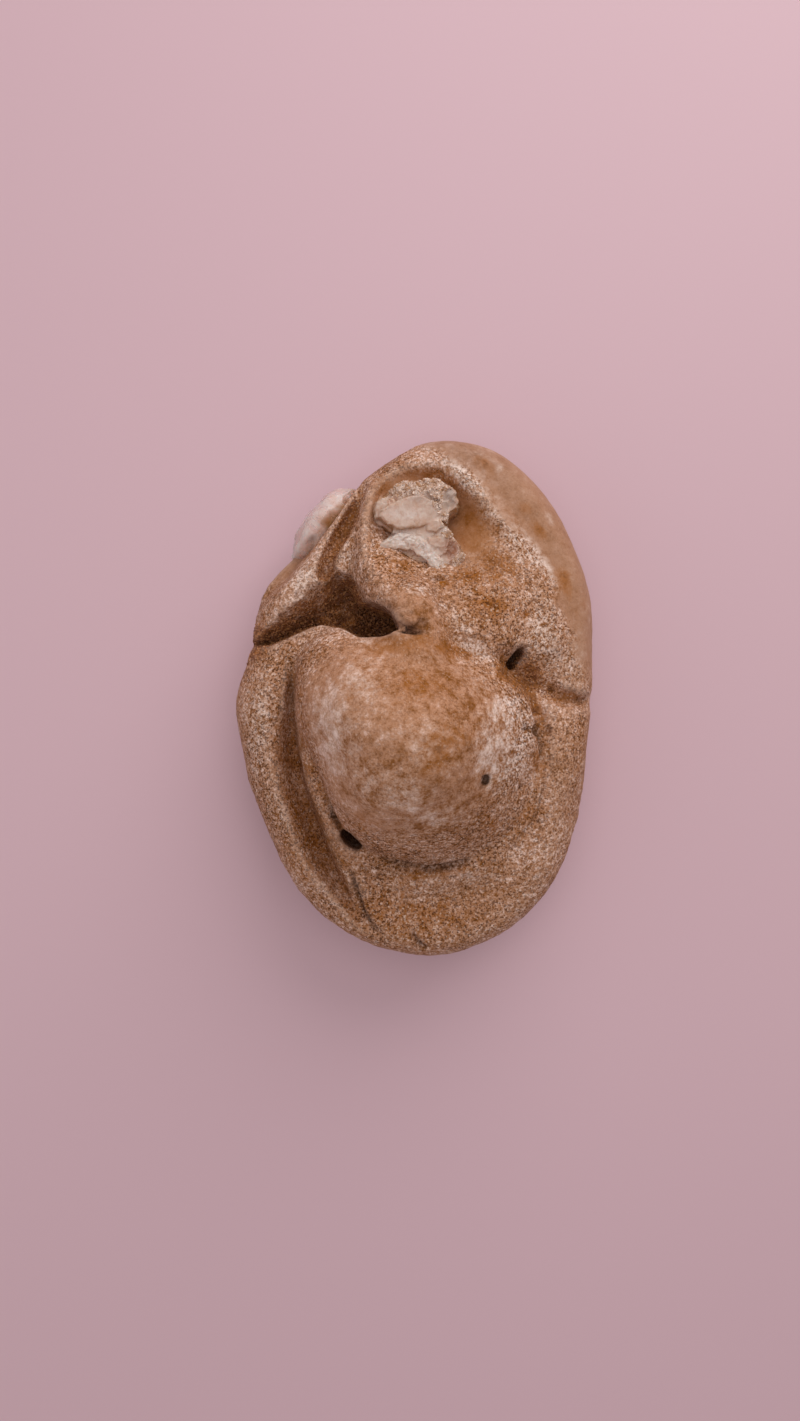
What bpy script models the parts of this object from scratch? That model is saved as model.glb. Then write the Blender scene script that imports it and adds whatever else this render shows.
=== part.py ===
"""Fossil clam: a water-worn lump of sandstone with the mould of a clam in it, a hollow lined with crystals
and a lump of crystal on its flank.

The stone lies on its flat worn underside. X is across it, Y along it towards the hollow, and Z up. Every size
and place in this file is in millimetres, and MM turns them into Blender's metres where a mesh is made.
"""

import math

import bmesh
import bpy
import numpy as np
from mathutils import Vector, noise

MM = 0.001

# The stone as a worn pebble
LENGTH = 56.8
EDGE_HEIGHT = 9.5  # height of its widest line above what it lies on
EDGE_ROUNDING = 11.4  # how far the rounded edge would rise over the middle of the stone
EDGE_SQUARENESS = 2.3  # higher stays wide for longer towards the edge
EDGE_START = 0.4  # share of the width where the rounded edge starts to hold the face down
EDGE_FULL = 0.8  # and where it holds it fully
EDGE_LEAST = 0.12  # share of the rounded edge's rise that no groove eats
EDGE_BLEND = 0.7  # how softly the face meets the rounded edge
FACE_HEIGHT = 14.9  # general height of the upper face between its ridges
RIM_HEIGHT = 15.8  # height of the face at the foot of the dome
UNDERSIDE_FLAT = 0.35  # share of the stone's width that is worn flat below
UNDERSIDE_SQUARENESS = 2.2
UNEVENNESS = 0.36  # how far the worn surface wanders in and out
UNEVENNESS_SPREAD = 7.0  # from one high spot to the next
UNEVENNESS_SEED = 1795469892  # which chance surface of that kind the stone has
# Distance from the stone's middle to its widest line, every 15 degrees from +X, as shares of half its length
OUTLINE = [
    0.683, 0.709, 0.773, 0.855, 0.946, 1.012, 0.980, 0.858, 0.760, 0.732, 0.708, 0.660,
    0.688, 0.709, 0.737, 0.793, 0.886, 0.954, 1.000, 0.980, 0.930, 0.826, 0.743, 0.689,
]  # fmt: skip

# The dome: the mould of the inside of one valve
DOME_MIDDLE = (-1.0, -4.2)
DOME_TOP = 28.2
DOME_MOAT = 2.0  # how far the face falls just outside the dome
DOME_MOAT_END = 1.3  # where that fall is complete, as a share of the dome's foot
DOME_BLEND = 0.3  # how softly the dome meets the face
# Every 45 degrees from +X: distance from the middle to the foot, and how slack the side is
DOME_FOOT = [14.8, 14.2, 12.6, 14.6, 11.3, 11.2, 13.4, 14.6]
DOME_SLACKNESS = [1.35, 1.35, 1.0, 0.74, 0.66, 0.74, 1.05, 1.3]

# Ridges, each a line of (x, y, height of the crest, half width)
RIDGE_FALL = 2.2  # how far a ridge falls at its half width
RIDGE_BLEND = 0.5  # how softly it meets the face
LIP = [
    (-15.2, 4.6, 15.0, 1.7), (-16.2, 1.2, 15.6, 1.9), (-16.6, -2.5, 15.8, 2.0), (-15.9, -7.0, 15.8, 2.0),
    (-14.6, -11.5, 15.7, 2.0), (-12.6, -15.8, 15.4, 2.0), (-9.8, -19.8, 15.0, 2.0), (-6.6, -22.8, 14.2, 2.0),
]  # fmt: skip
LEDGE = [
    (-12.4, 1.6, 16.4, 0.9), (-12.0, -2.5, 17.2, 1.1), (-11.1, -7.2, 16.9, 1.4), (-9.7, -11.8, 16.3, 1.7),
    (-7.7, -16.0, 15.7, 2.0), (-5.8, -20.4, 14.8, 2.2),
]  # fmt: skip
TOP_LEFT_RIDGE = [
    (-16.4, 7.9, 14.8, 1.6), (-14.2, 10.0, 15.8, 2.1), (-11.6, 12.9, 16.0, 1.7), (-9.7, 16.0, 15.8, 1.2),
    (-7.9, 19.0, 15.6, 1.0), (-6.2, 21.8, 15.4, 1.0),
]  # fmt: skip
HOLLOW_WALL = [
    (-5.0, 22.0, 15.8, 1.0), (-5.5, 18.0, 16.4, 1.1), (-5.0, 14.0, 18.2, 1.5), (-3.4, 11.0, 20.4, 2.2),
    (-1.2, 8.6, 22.6, 3.0), (-1.0, 4.0, 24.0, 4.0),
]  # fmt: skip
ARCH = [
    (-5.0, 21.8, 15.4, 1.0), (-3.1, 23.9, 15.4, 1.1), (-0.6, 25.0, 15.3, 1.4), (2.0, 25.0, 15.3, 1.6),
    (4.6, 23.6, 15.5, 1.8), (6.6, 21.2, 15.7, 2.0), (9.4, 17.6, 15.9, 2.2), (11.7, 14.0, 16.2, 2.3),
    (13.5, 10.2, 16.4, 2.3), (14.5, 6.0, 16.4, 2.3),
]  # fmt: skip

# Broad swells and dishes, each (x, y, half length, half width, turn in degrees, rise or fall)
SWELL_REACH = 1.3  # how far past its oval a swell fades out, as a share of the oval
SADDLE = (4.0, 7.2, 10.5, 6.6, -22, 5.0)
LOBE_SHOULDER = (-3.4, 13.6, 3.4, 5.0, 12, 2.2)
LOBE_SLOPE = (9.6, 12.6, 7.0, 4.6, -52, 2.0)
RIGHT_SHOULDER = (13.6, -6.0, 5.0, 13.0, 6, 1.2)
BOTTOM_FALL = (0.0, -28.0, 18.0, 10.5, 0, -3.8)
HOLLOW = (0.8, 19.6, 6.2, 4.8, -30, -3.0)
BOTTOM_VALLEY = (1.6, -17.4, 9.5, 1.9, 8, -0.7)
SHELL_EDGE_DIP = (12.2, 2.6, 3.6, 2.4, -38, -1.0)

# Channels, each a line of (x, y, depth, reach), that fall gently from the right of the line's direction and
# end in a steep wall on its left
LIP_GROOVE = [
    (-13.2, 3.6, 0.3, 0.5), (-13.1, 0.6, 2.2, 0.9), (-13.1, -3.6, 3.1, 1.4), (-12.9, -6.4, 3.3, 1.5),
    (-12.2, -9.8, 3.4, 1.9), (-11.2, -12.8, 3.4, 2.1), (-10.0, -15.8, 3.3, 2.2), (-8.7, -18.8, 2.8, 1.7),
    (-7.2, -21.6, 1.8, 1.0), (-5.6, -24.2, 0.5, 0.5),
]  # fmt: skip
SHELL_EDGE_STEP = [
    (12.8, -8.4, 0.1, 0.8), (12.9, -5.2, 0.5, 0.9), (12.7, -2.6, 0.8, 1.0), (12.0, -0.4, 1.0, 1.2),
    (10.9, 1.3, 1.3, 1.8), (9.2, 2.9, 1.4, 2.2),
]  # fmt: skip
CHANNEL_WALL = 0.8  # width of the steep side
CHANNEL_FLOOR = 0.1  # where the gentle side starts and ends, as shares of the reach
CHANNEL_BRIM = 1.3
# Grooves, each a line of (x, y, depth, half width)
GROOVE_FLOOR = 0.35  # where a groove's floor ends and its brim begins, in half widths
GROOVE_BRIM = 1.35
LEDGE_CREASE = [
    (-11.7, -3.2, 0.2, 0.2), (-11.1, -6.0, 0.4, 0.25), (-9.9, -9.4, 0.5, 0.3), (-8.8, -12.0, 0.6, 0.3),
    (-8.0, -13.6, 0.9, 0.4), (-5.6, -15.9, 0.6, 0.4), (-3.2, -16.9, 0.2, 0.5),
]  # fmt: skip
RIDGE_GROOVE = [
    (-9.9, 13.2, 2.0, 0.8), (-9.1, 15.8, 2.0, 0.8), (-7.9, 17.9, 2.4, 0.9), (-6.8, 20.2, 2.2, 0.75),
    (-5.8, 22.8, 0.6, 0.4),
]  # fmt: skip
FLANK_SHELF = [
    (-18.4, 9.6, 0.6, 1.0), (-15.9, 12.2, 2.6, 1.4), (-13.6, 15.4, 3.4, 1.5), (-11.6, 18.4, 3.4, 1.5),
    (-9.4, 21.2, 2.8, 1.3), (-7.2, 23.6, 0.8, 0.9),
]  # fmt: skip
WAIST_DIP = [(14.0, 0.7, 0.7, 1.3), (15.6, -0.1, 1.3, 0.9), (17.2, -0.4, 1.0, 0.9), (19.0, -0.5, 0.6, 0.9)]

# The cleft, a blind opening between the dome, the top left ridge and the upper lobe. Each corner is
# (x, y) at its brim, then (x, y, z) at its floor.
BRIM_HEIGHT = 17.0
CEILING = 34.0  # above everything
CLEFT = [
    ((-21.0, 4.9), (-21.0, 5.4, 8.0)), ((-15.7, 5.2), (-15.7, 5.8, 10.2)), ((-12.8, 6.5), (-12.8, 7.1, 11.0)),
    ((-10.2, 7.6), (-10.0, 8.0, 9.8)), ((-8.1, 7.2), (-8.0, 7.7, 8.8)), ((-5.9, 6.0), (-5.8, 6.6, 8.6)),
    ((-3.4, 6.0), (-3.2, 6.5, 9.0)), ((-1.7, 6.7), (-1.0, 7.0, 10.0)), ((-3.0, 8.8), (-2.2, 8.8, 9.2)),
    ((-5.3, 10.0), (-5.2, 9.8, 8.8)), ((-6.3, 12.2), (-6.8, 10.7, 9.0)), ((-7.0, 13.8), (-7.2, 12.0, 10.0)),
    ((-8.6, 14.4), (-8.0, 11.8, 10.0)), ((-10.6, 13.2), (-9.0, 9.8, 9.6)),
    ((-12.8, 10.6), (-12.0, 7.9, 10.6)), ((-16.4, 8.4), (-15.2, 6.3, 10.2)),
    ((-21.0, 7.0), (-21.0, 6.0, 8.0)),
]  # fmt: skip
SIDE_HOLE = [
    ((9.2, 3.3), (8.2, 3.2, 12.0)), ((10.3, 5.0), (9.2, 4.6, 12.0)), ((11.2, 5.6), (10.2, 5.0, 12.8)),
    ((11.3, 4.5), (10.3, 4.1, 13.2)), ((10.9, 3.6), (9.9, 3.4, 12.6)), ((11.2, 2.9), (10.0, 2.9, 13.4)),
    ((10.2, 2.9), (9.2, 2.8, 12.4)),
]  # fmt: skip
SIDE_NOTCH = [
    ((15.2, -0.1), (15.8, -0.3, 14.4)), ((16.4, -0.9), (16.6, -0.5, 13.4)), ((21.5, -1.3), (21.5, -0.7, 9.4)),
    ((21.5, 0.5), (21.5, 0.1, 9.4)), ((16.6, 0.5), (16.8, 0.0, 13.4)),
]  # fmt: skip
# Pits eaten into the stone, each (x, y, z, half length, half width, half depth, turn in degrees)
PITS = [
    (-7.0, -14.9, 14.8, 1.5, 0.75, 4.0, -42),
    (-3.0, 7.7, 12.0, 2.6, 1.5, 2.4, -8),
    (13.6, 0.7, 16.0, 0.7, 0.55, 1.2, -30),
    (6.6, -8.4, 22.4, 0.6, 0.35, 1.0, 60),
]

# Crystals of the crust, each with the outline of its top, the top's height and how it rises along X and Y
CRYSTAL_FOOT = 11.6
CRYSTAL_SPREAD = 0.35  # how far each crystal widens towards its foot
CRUST = {
    "upper_bed": (
        [(-4.4, 18.4), (-4.2, 20.4), (-2.7, 22.0), (-0.3, 22.8), (2.3, 22.9), (3.8, 21.2), (3.4, 19.4),
         (2.8, 17.6), (-2.4, 17.2)],
        15.1, 0.0, 0.0,
    ),
    "lower_bed": (
        [(-3.8, 15.4), (-2.6, 17.6), (2.8, 17.8), (4.5, 15.6), (3.9, 13.6), (2.6, 12.9), (0.4, 14.0),
         (-3.0, 14.5)],
        15.0, 0.03, 0.12,
    ),
    "tile": (
        [(-4.0, 18.8), (-3.6, 19.7), (-2.1, 20.6), (-0.6, 21.1), (1.3, 20.8), (2.6, 19.4), (2.5, 18.3),
         (1.3, 17.8), (-1.2, 17.5), (-2.9, 18.0)],
        16.6, -0.08, 0.06,
    ),
    "left": (
        [(-4.6, 18.8), (-4.4, 20.3), (-4.0, 21.0), (-2.7, 21.0), (-2.4, 20.2), (-3.6, 18.6)],
        16.2, 0.10, 0.10,
    ),
    "dark": ([(-2.8, 20.8), (-2.6, 22.0), (-1.7, 22.8), (-0.7, 22.4), (-0.7, 21.0)], 15.6, 0.15, -0.10),
    "sugar": (
        [(-0.7, 22.0), (0.8, 23.0), (2.1, 23.0), (3.1, 22.1), (2.0, 20.6), (-0.4, 20.9)],
        16.0, 0.0, -0.20,
    ),
    "blade": (
        [(2.4, 21.6), (3.3, 22.2), (4.0, 21.2), (4.3, 20.4), (3.8, 19.4), (3.0, 18.4), (2.3, 18.8)],
        16.2, -0.25, 0.10,
    ),
    "apron": (
        [(-2.6, 17.9), (2.6, 18.2), (3.6, 17.1), (2.8, 16.2), (1.4, 16.0), (-2.3, 16.8)],
        16.0, 0.02, 0.16,
    ),
    "band": (
        [(-3.9, 15.8), (-2.6, 17.1), (-1.3, 17.2), (0.5, 16.7), (0.2, 15.2), (-2.2, 15.5)],
        16.2, -0.02, 0.15,
    ),
    "band_end": (
        [(0.0, 16.8), (0.9, 16.5), (2.4, 14.9), (3.1, 13.2), (2.3, 12.8), (0.7, 14.5), (-0.2, 15.3)],
        16.1, 0.02, 0.12,
    ),
    "step": (
        [(1.0, 16.8), (2.8, 17.1), (3.5, 16.6), (3.0, 15.2), (2.1, 14.9), (1.2, 15.6)],
        16.1, 0.0, 0.15,
    ),
    "rose": (
        [(2.5, 16.5), (3.7, 17.0), (4.4, 16.4), (4.9, 15.1), (4.2, 13.7), (3.1, 13.2), (2.4, 14.5)],
        15.6, -0.16, 0.14,
    ),
    "low": ([(-3.7, 15.6), (-0.3, 15.7), (0.6, 14.4), (-0.2, 14.1), (-3.0, 14.5)], 15.5, 0.0, 0.15),
}  # fmt: skip
# The flank crystal: its widest outline seen from above, and the heights of its base and top
FLANK_OUTLINE = [
    (-13.9, 15.8), (-13.3, 18.3), (-12.3, 20.5), (-11.4, 21.4), (-9.8, 22.9), (-8.6, 23.4), (-6.6, 23.3),
    (-6.4, 20.8), (-8.6, 17.2), (-11.6, 14.6),
]  # fmt: skip
FLANK_BASE = 3.6
FLANK_TOP = 13.2
FLANK_LEVELS = (-1.0, -0.85, -0.5, 0.0, 0.5, 0.85, 1.0)  # heights of its rings of corners, from base to top
FLANK_ROUNDNESS = 2.0
FLANK_END_SHARE = 0.16  # share of its outline left at the very base and top
FIT_GAP = 0.3  # between a crystal and the stone it sits in

STONE_TRIANGLES = 7200
VOXEL = 0.4
WEAR_ROUNDS = 4
CROWDING = 1.3  # how closely corners crowd towards the widest line, where the surface is steep
CROWDING_EASE = 0.9
BALL_SPLITS = 7  # how often the ball that becomes the stone is split into smaller faces


def clear_scene():
    for thing in list(bpy.data.objects):
        bpy.data.objects.remove(thing, do_unlink=True)


def material(name, colour, roughness):
    made = bpy.data.materials.new(name)
    made.use_nodes = True
    shader = made.node_tree.nodes["Principled BSDF"]
    shader.inputs["Base Color"].default_value = (*colour, 1.0)
    shader.inputs["Roughness"].default_value = roughness
    shader.inputs["Metallic"].default_value = 0.0
    return made


def new_object(name, mesh_tool, finish=None):
    """An object made from a bmesh in millimetres. Without a finish it is a cutter."""
    bmesh.ops.scale(mesh_tool, vec=(MM, MM, MM), verts=mesh_tool.verts)
    bmesh.ops.recalc_face_normals(mesh_tool, faces=mesh_tool.faces)
    mesh = bpy.data.meshes.new(name)
    mesh_tool.to_mesh(mesh)
    mesh_tool.free()
    made = bpy.data.objects.new(name, mesh)
    bpy.context.scene.collection.objects.link(made)
    if finish:
        mesh.materials.append(finish)
    else:
        made.hide_render = True
        made.display_type = "WIRE"
    return made


def ease(value, low, high):
    """0 up to low, 1 from high, and smooth between them."""
    share = np.clip((value - low) / (high - low), 0.0, 1.0)
    return share * share * (3 - 2 * share)


def soft_lower(a, b, blend):
    """The lower of two heights, rounded over where they cross."""
    return -blend * np.logaddexp(-a / blend, -b / blend)


def soft_higher(a, b, blend):
    return blend * np.logaddexp(a / blend, b / blend)


def round_ring(values, angle):
    """A smooth closed curve through values spaced evenly round the circle, read at each angle."""
    waves = np.fft.rfft(values) / len(values)
    total = np.full(np.shape(angle), waves[0].real)
    for turn, wave in enumerate(waves[1:], 1):
        weight = 1 if 2 * turn == len(values) else 2
        total = total + weight * (wave * np.exp(1j * turn * angle)).real
    return total


def rounded_line(corners, steps=6):
    """The corners of a line with a smooth curve drawn through them."""
    points = np.array(corners, float)
    padded = np.vstack([2 * points[0] - points[1], points, 2 * points[-1] - points[-2]])
    curve = []
    for before, start, end, after in zip(padded, padded[1:], padded[2:], padded[3:]):
        for t in np.arange(steps) / steps:
            slope = (2 * before - 5 * start + 4 * end - after) * t
            bend = (3 * start - before - 3 * end + after) * t * t
            curve.append(start + 0.5 * t * (end - before + slope + bend))
    curve.append(points[-1])
    return np.array(curve)


def nearest_on_line(corners, x, y):
    """Distance to a line, positive on its left, and the line's two other values at the nearest spot."""
    curve = rounded_line(corners)
    nearest = np.full(x.shape, np.inf)
    values = np.zeros((2, *x.shape))
    for start, end in zip(curve, curve[1:]):
        run, rise = end[:2] - start[:2]
        across_x, across_y = x - start[0], y - start[1]
        t = np.clip((across_x * run + across_y * rise) / max(run**2 + rise**2, 1e-9), 0, 1)
        distance = np.hypot(across_x - t * run, across_y - t * rise)
        closer = distance < np.abs(nearest)
        nearest = np.where(closer, np.copysign(distance, run * across_y - rise * across_x), nearest)
        for row in (0, 1):
            values[row] = np.where(closer, start[2 + row] + t * (end - start)[2 + row], values[row])
    return nearest, values[0], values[1]


def swell(shape, x, y):
    """A smooth oval rise or fall of the surface."""
    middle_x, middle_y, half_length, half_width, turn, rise = shape
    cos, sin = math.cos(math.radians(turn)), math.sin(math.radians(turn))
    u = ((x - middle_x) * cos + (y - middle_y) * sin) / half_length
    v = ((y - middle_y) * cos - (x - middle_x) * sin) / half_width
    return rise * (1 - ease(np.hypot(u, v), 0.0, SWELL_REACH))


def with_ridge(height, line, x, y):
    """The surface with a rounded ridge laid over it."""
    distance, crest, half_width = nearest_on_line(line, x, y)
    ridge = crest - RIDGE_FALL * (distance / half_width) ** 2
    return soft_higher(height, np.maximum(ridge, 0), RIDGE_BLEND)


def groove_fall(line, x, y):
    distance, depth, half_width = nearest_on_line(line, x, y)
    return depth * (1 - ease(np.abs(distance) / half_width, GROOVE_FLOOR, GROOVE_BRIM))


def channel_fall(line, x, y):
    distance, depth, reach = nearest_on_line(line, x, y)
    gentle = 1 - ease(-distance / reach, CHANNEL_FLOOR, CHANNEL_BRIM)
    steep = 1 - ease(distance, CHANNEL_FLOOR, CHANNEL_WALL)
    return depth * np.where(distance < 0, gentle, steep)


def dome_height(x, y):
    angle = np.arctan2(y - DOME_MIDDLE[1], x - DOME_MIDDLE[0])
    reach = np.hypot(x - DOME_MIDDLE[0], y - DOME_MIDDLE[1]) / round_ring(DOME_FOOT, angle)
    side = np.clip(1 - reach**2, 0, 1) ** round_ring(DOME_SLACKNESS, angle)
    return RIM_HEIGHT + (DOME_TOP - RIM_HEIGHT) * side - DOME_MOAT * ease(reach, 1.0, DOME_MOAT_END)


def face_height(x, y, edge_share):
    """Height of the stone's upper face, where edge_share is 0 in the middle and 1 at the widest line."""
    height = np.full(x.shape, FACE_HEIGHT)
    for shape in (SADDLE, LOBE_SHOULDER, LOBE_SLOPE, RIGHT_SHOULDER, BOTTOM_FALL):
        height = height + swell(shape, x, y)
    height = soft_higher(height, dome_height(x, y), DOME_BLEND)
    for line in (ARCH, HOLLOW_WALL, TOP_LEFT_RIDGE, LIP, LEDGE):
        height = with_ridge(height, line, x, y)
    for shape in (HOLLOW, BOTTOM_VALLEY, SHELL_EDGE_DIP):
        height = height + swell(shape, x, y)
    edge = EDGE_HEIGHT + EDGE_ROUNDING * np.sqrt(np.clip(1 - edge_share**EDGE_SQUARENESS, 0, 1))
    height = soft_lower(height, edge + CEILING * (1 - ease(edge_share, EDGE_START, EDGE_FULL)), EDGE_BLEND)
    for line in (LIP_GROOVE, SHELL_EDGE_STEP):
        height = height - channel_fall(line, x, y)
    for line in (LEDGE_CREASE, RIDGE_GROOVE, FLANK_SHELF, WAIST_DIP):
        height = height - groove_fall(line, x, y)
    # No groove reaches below the widest line, where the upper face ends.
    return np.maximum(height, EDGE_HEIGHT + EDGE_LEAST * (edge - EDGE_HEIGHT))


def underside_height(edge_share):
    """A bowl with a flat worn middle, which the stone lies on."""
    slope = np.clip((edge_share - UNDERSIDE_FLAT) / (1 - UNDERSIDE_FLAT), 0, 1)
    return EDGE_HEIGHT * (1 - np.sqrt(1 - slope**UNDERSIDE_SQUARENESS))


def make_stone(finish):
    ball = bmesh.new()
    bmesh.ops.create_icosphere(ball, subdivisions=BALL_SPLITS, radius=1.0)
    spots = np.array([corner.co for corner in ball.verts])
    angle = np.arctan2(spots[:, 1], spots[:, 0])
    out = np.hypot(spots[:, 0], spots[:, 1])
    edge_share = np.sin(0.5 * np.pi * out**CROWDING) ** CROWDING_EASE
    reach = edge_share * round_ring(OUTLINE, angle) * LENGTH / 2
    x, y = reach * np.cos(angle), reach * np.sin(angle)
    upper = face_height(x, y, edge_share)
    lower = underside_height(edge_share)
    z = np.where(spots[:, 2] >= 0, upper, lower)
    noise.seed_set(UNEVENNESS_SEED)
    for corner, place in zip(ball.verts, np.column_stack([x, y, z])):
        corner.co = Vector(place)
        # The flat that it lies on stays flat.
        lift = min(1.0, corner.co.z / EDGE_HEIGHT)
        wander = noise.noise_vector(corner.co / UNEVENNESS_SPREAD)
        corner.co += UNEVENNESS * lift * wander
    return new_object("fossil_stone", ball, finish)


def make_opening(name, corners):
    """A block with a slanting foot that opens the stone from above."""
    block = bmesh.new()
    floor_ring = [block.verts.new(foot) for _, foot in corners]
    rings = [floor_ring]
    for height in (BRIM_HEIGHT, CEILING):
        rings.append([block.verts.new((*spot, height)) for spot, _ in corners])
    for lower, upper in zip(rings, rings[1:]):
        for i in range(len(corners)):
            j = (i + 1) % len(corners)
            block.faces.new((lower[i], lower[j], upper[j], upper[i]))
    block.faces.new(rings[0])
    block.faces.new(rings[-1])
    bmesh.ops.triangulate(block, faces=block.faces[:])
    return new_object(name, block)


def make_pit(name, pit):
    x, y, z, half_length, half_width, half_depth, turn = pit
    oval = bmesh.new()
    bmesh.ops.create_icosphere(oval, subdivisions=3, radius=1.0)
    cos, sin = math.cos(math.radians(turn)), math.sin(math.radians(turn))
    for corner in oval.verts:
        u, v = corner.co.x * half_length, corner.co.y * half_width
        corner.co = Vector((x + u * cos - v * sin, y + u * sin + v * cos, z + corner.co.z * half_depth))
    return new_object(name, oval)


def carve(body, cutter, operation="DIFFERENCE"):
    cut = body.modifiers.new(cutter.name, "BOOLEAN")
    cut.operation = operation
    cut.object = cutter
    cut.solver = "EXACT"


def wear_smooth(body):
    """Closes the carved stone into one skin, wears its edges round and thins its faces."""
    skin = body.modifiers.new("skin", "REMESH")
    skin.mode = "VOXEL"
    skin.voxel_size = VOXEL * MM
    wear = body.modifiers.new("wear", "SMOOTH")
    wear.factor = 0.5
    wear.iterations = WEAR_ROUNDS
    bpy.context.view_layer.update()
    worn = body.evaluated_get(bpy.context.evaluated_depsgraph_get())
    faces = sum(len(face.vertices) - 2 for face in worn.data.polygons)
    thin = body.modifiers.new("thin", "DECIMATE")
    thin.ratio = STONE_TRIANGLES / faces
    thin.use_collapse_triangulate = True


def crystal(shape, grow=0.0):
    """A flat-topped crystal that widens a little towards its foot."""
    outline, top, rise_x, rise_y = shape
    middle = np.mean(outline, axis=0)
    block = bmesh.new()
    for spot in outline:
        out = np.array(spot) - middle
        away = out / np.linalg.norm(out)
        height = top + rise_x * out[0] + rise_y * out[1] + grow
        block.verts.new((*(middle + out + away * grow), height))
        block.verts.new((*(middle + out + away * (grow + CRYSTAL_SPREAD)), CRYSTAL_FOOT - grow))
    hull = bmesh.ops.convex_hull(block, input=block.verts)
    bmesh.ops.delete(block, geom=[e for e in hull["geom_interior"] if isinstance(e, bmesh.types.BMVert)])
    return block


def make_hollow_crystals(stone, finish):
    crust = None
    for name, shape in CRUST.items():
        if crust:
            carve(crust, new_object(f"crystal_{name}", crystal(shape)), "UNION")
        else:
            crust = new_object("hollow_crystals", crystal(shape), finish)
        carve(stone, new_object(f"socket_{name}", crystal(shape, FIT_GAP)))
    return crust


def flank_lump(grow=0.0):
    middle = np.mean(FLANK_OUTLINE, axis=0)
    half_height = (FLANK_TOP - FLANK_BASE) / 2 + grow
    lump = bmesh.new()
    for level in FLANK_LEVELS:
        inset = math.sqrt(1 - abs(level) ** FLANK_ROUNDNESS) * (1 - FLANK_END_SHARE) + FLANK_END_SHARE
        for spot in FLANK_OUTLINE:
            out = np.array(spot) - middle
            out = out * inset * (1 + grow / np.linalg.norm(out))
            height = (FLANK_TOP + FLANK_BASE) / 2 + level * half_height
            lump.verts.new((middle[0] + out[0], middle[1] + out[1], height))
    hull = bmesh.ops.convex_hull(lump, input=lump.verts)
    bmesh.ops.delete(lump, geom=[e for e in hull["geom_interior"] if isinstance(e, bmesh.types.BMVert)])
    return lump


def make_flank_crystal(stone, finish):
    carve(stone, new_object("flank_socket", flank_lump(FIT_GAP)))
    return new_object("flank_crystal", flank_lump(), finish)


clear_scene()
sandstone = material("sandstone", (0.42, 0.25, 0.15), 0.85)
milky_calcite = material("milky_calcite", (0.62, 0.50, 0.40), 0.35)
clear_calcite = material("clear_calcite", (0.60, 0.48, 0.42), 0.30)
fossil_stone = make_stone(sandstone)
for opening_name, opening in (("cleft", CLEFT), ("side_hole", SIDE_HOLE), ("side_notch", SIDE_NOTCH)):
    carve(fossil_stone, make_opening(opening_name, opening))
for pit_number, pit_shape in enumerate(PITS):
    carve(fossil_stone, make_pit(f"pit_{pit_number}", pit_shape))
wear_smooth(fossil_stone)
make_hollow_crystals(fossil_stone, milky_calcite)
make_flank_crystal(fossil_stone, clear_calcite)
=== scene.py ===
import math

import bmesh
import bpy
import numpy as np
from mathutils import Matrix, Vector, kdtree, noise


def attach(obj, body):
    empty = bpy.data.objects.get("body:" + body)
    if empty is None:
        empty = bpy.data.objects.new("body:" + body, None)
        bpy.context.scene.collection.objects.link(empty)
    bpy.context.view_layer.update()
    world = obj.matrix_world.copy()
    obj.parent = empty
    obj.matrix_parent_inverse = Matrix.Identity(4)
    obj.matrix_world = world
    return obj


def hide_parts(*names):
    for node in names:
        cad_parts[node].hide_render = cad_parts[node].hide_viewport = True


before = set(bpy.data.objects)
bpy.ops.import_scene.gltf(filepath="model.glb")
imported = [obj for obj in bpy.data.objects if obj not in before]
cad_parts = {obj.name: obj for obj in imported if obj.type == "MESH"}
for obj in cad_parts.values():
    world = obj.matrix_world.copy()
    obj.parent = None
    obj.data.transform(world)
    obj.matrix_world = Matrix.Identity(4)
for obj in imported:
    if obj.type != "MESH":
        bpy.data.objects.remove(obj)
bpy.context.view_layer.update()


# ---- The sandstone --------------------------------------------------------------------------------------
# A beach-worn lump of fine sandstone, one piece of rock, that holds the mould of the inside of a clam: a dome
# with a rim round it, a lip and groove where the shell's edge was, a deep cleft and an upper lobe with a
# hollow. Places and sizes are in millimetres until the mesh is made.

MM = 0.001  # turns them into metres
LENGTH = 56.8
EDGE_HEIGHT = 9.5  # height of the widest line
EDGE_ROUNDING = 11.4  # how far the rounded edge would rise over the middle of the stone
EDGE_SQUARENESS = 2.3
EDGE_START = 0.4  # share of the width where the rounded edge starts to hold the face down
EDGE_FULL = 0.8  # and where it holds it fully
EDGE_LIFT = 30.0  # how far the edge's curve is lifted out of the way in the middle
EDGE_LEAST = 0.12  # share of the rounded edge's rise that no groove eats
EDGE_BLEND = 0.7  # how softly the face meets the rounded edge
FACE_HEIGHT = 14.9  # general height of the upper face between its ridges
RIM_HEIGHT = 15.8  # height of the face at the foot of the dome
UNDERSIDE_FLAT = 0.35  # share of the stone's width that is worn flat below
UNDERSIDE_SQUARENESS = 2.2
UNEVENNESS = 0.36  # how far the worn surface wanders in and out
UNEVENNESS_SPREAD = 7.0  # from one high spot to the next
UNEVENNESS_SEED = 1795469892  # which chance surface of that kind the stone has
# Distance from the middle to the widest line, every 15 degrees from +X, as shares of half the length
OUTLINE = [
    0.683, 0.709, 0.773, 0.855, 0.946, 1.012, 0.980, 0.858, 0.760, 0.732, 0.708, 0.660,
    0.688, 0.709, 0.737, 0.793, 0.886, 0.954, 1.000, 0.980, 0.930, 0.826, 0.743, 0.689,
]
DOME_MIDDLE = (-1.0, -4.2)
DOME_TOP = 28.2
DOME_MOAT = 2.0  # how far the face falls just outside the dome
DOME_MOAT_END = 1.3  # where that fall is complete, as a share of the dome's foot
DOME_BLEND = 0.3
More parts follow.
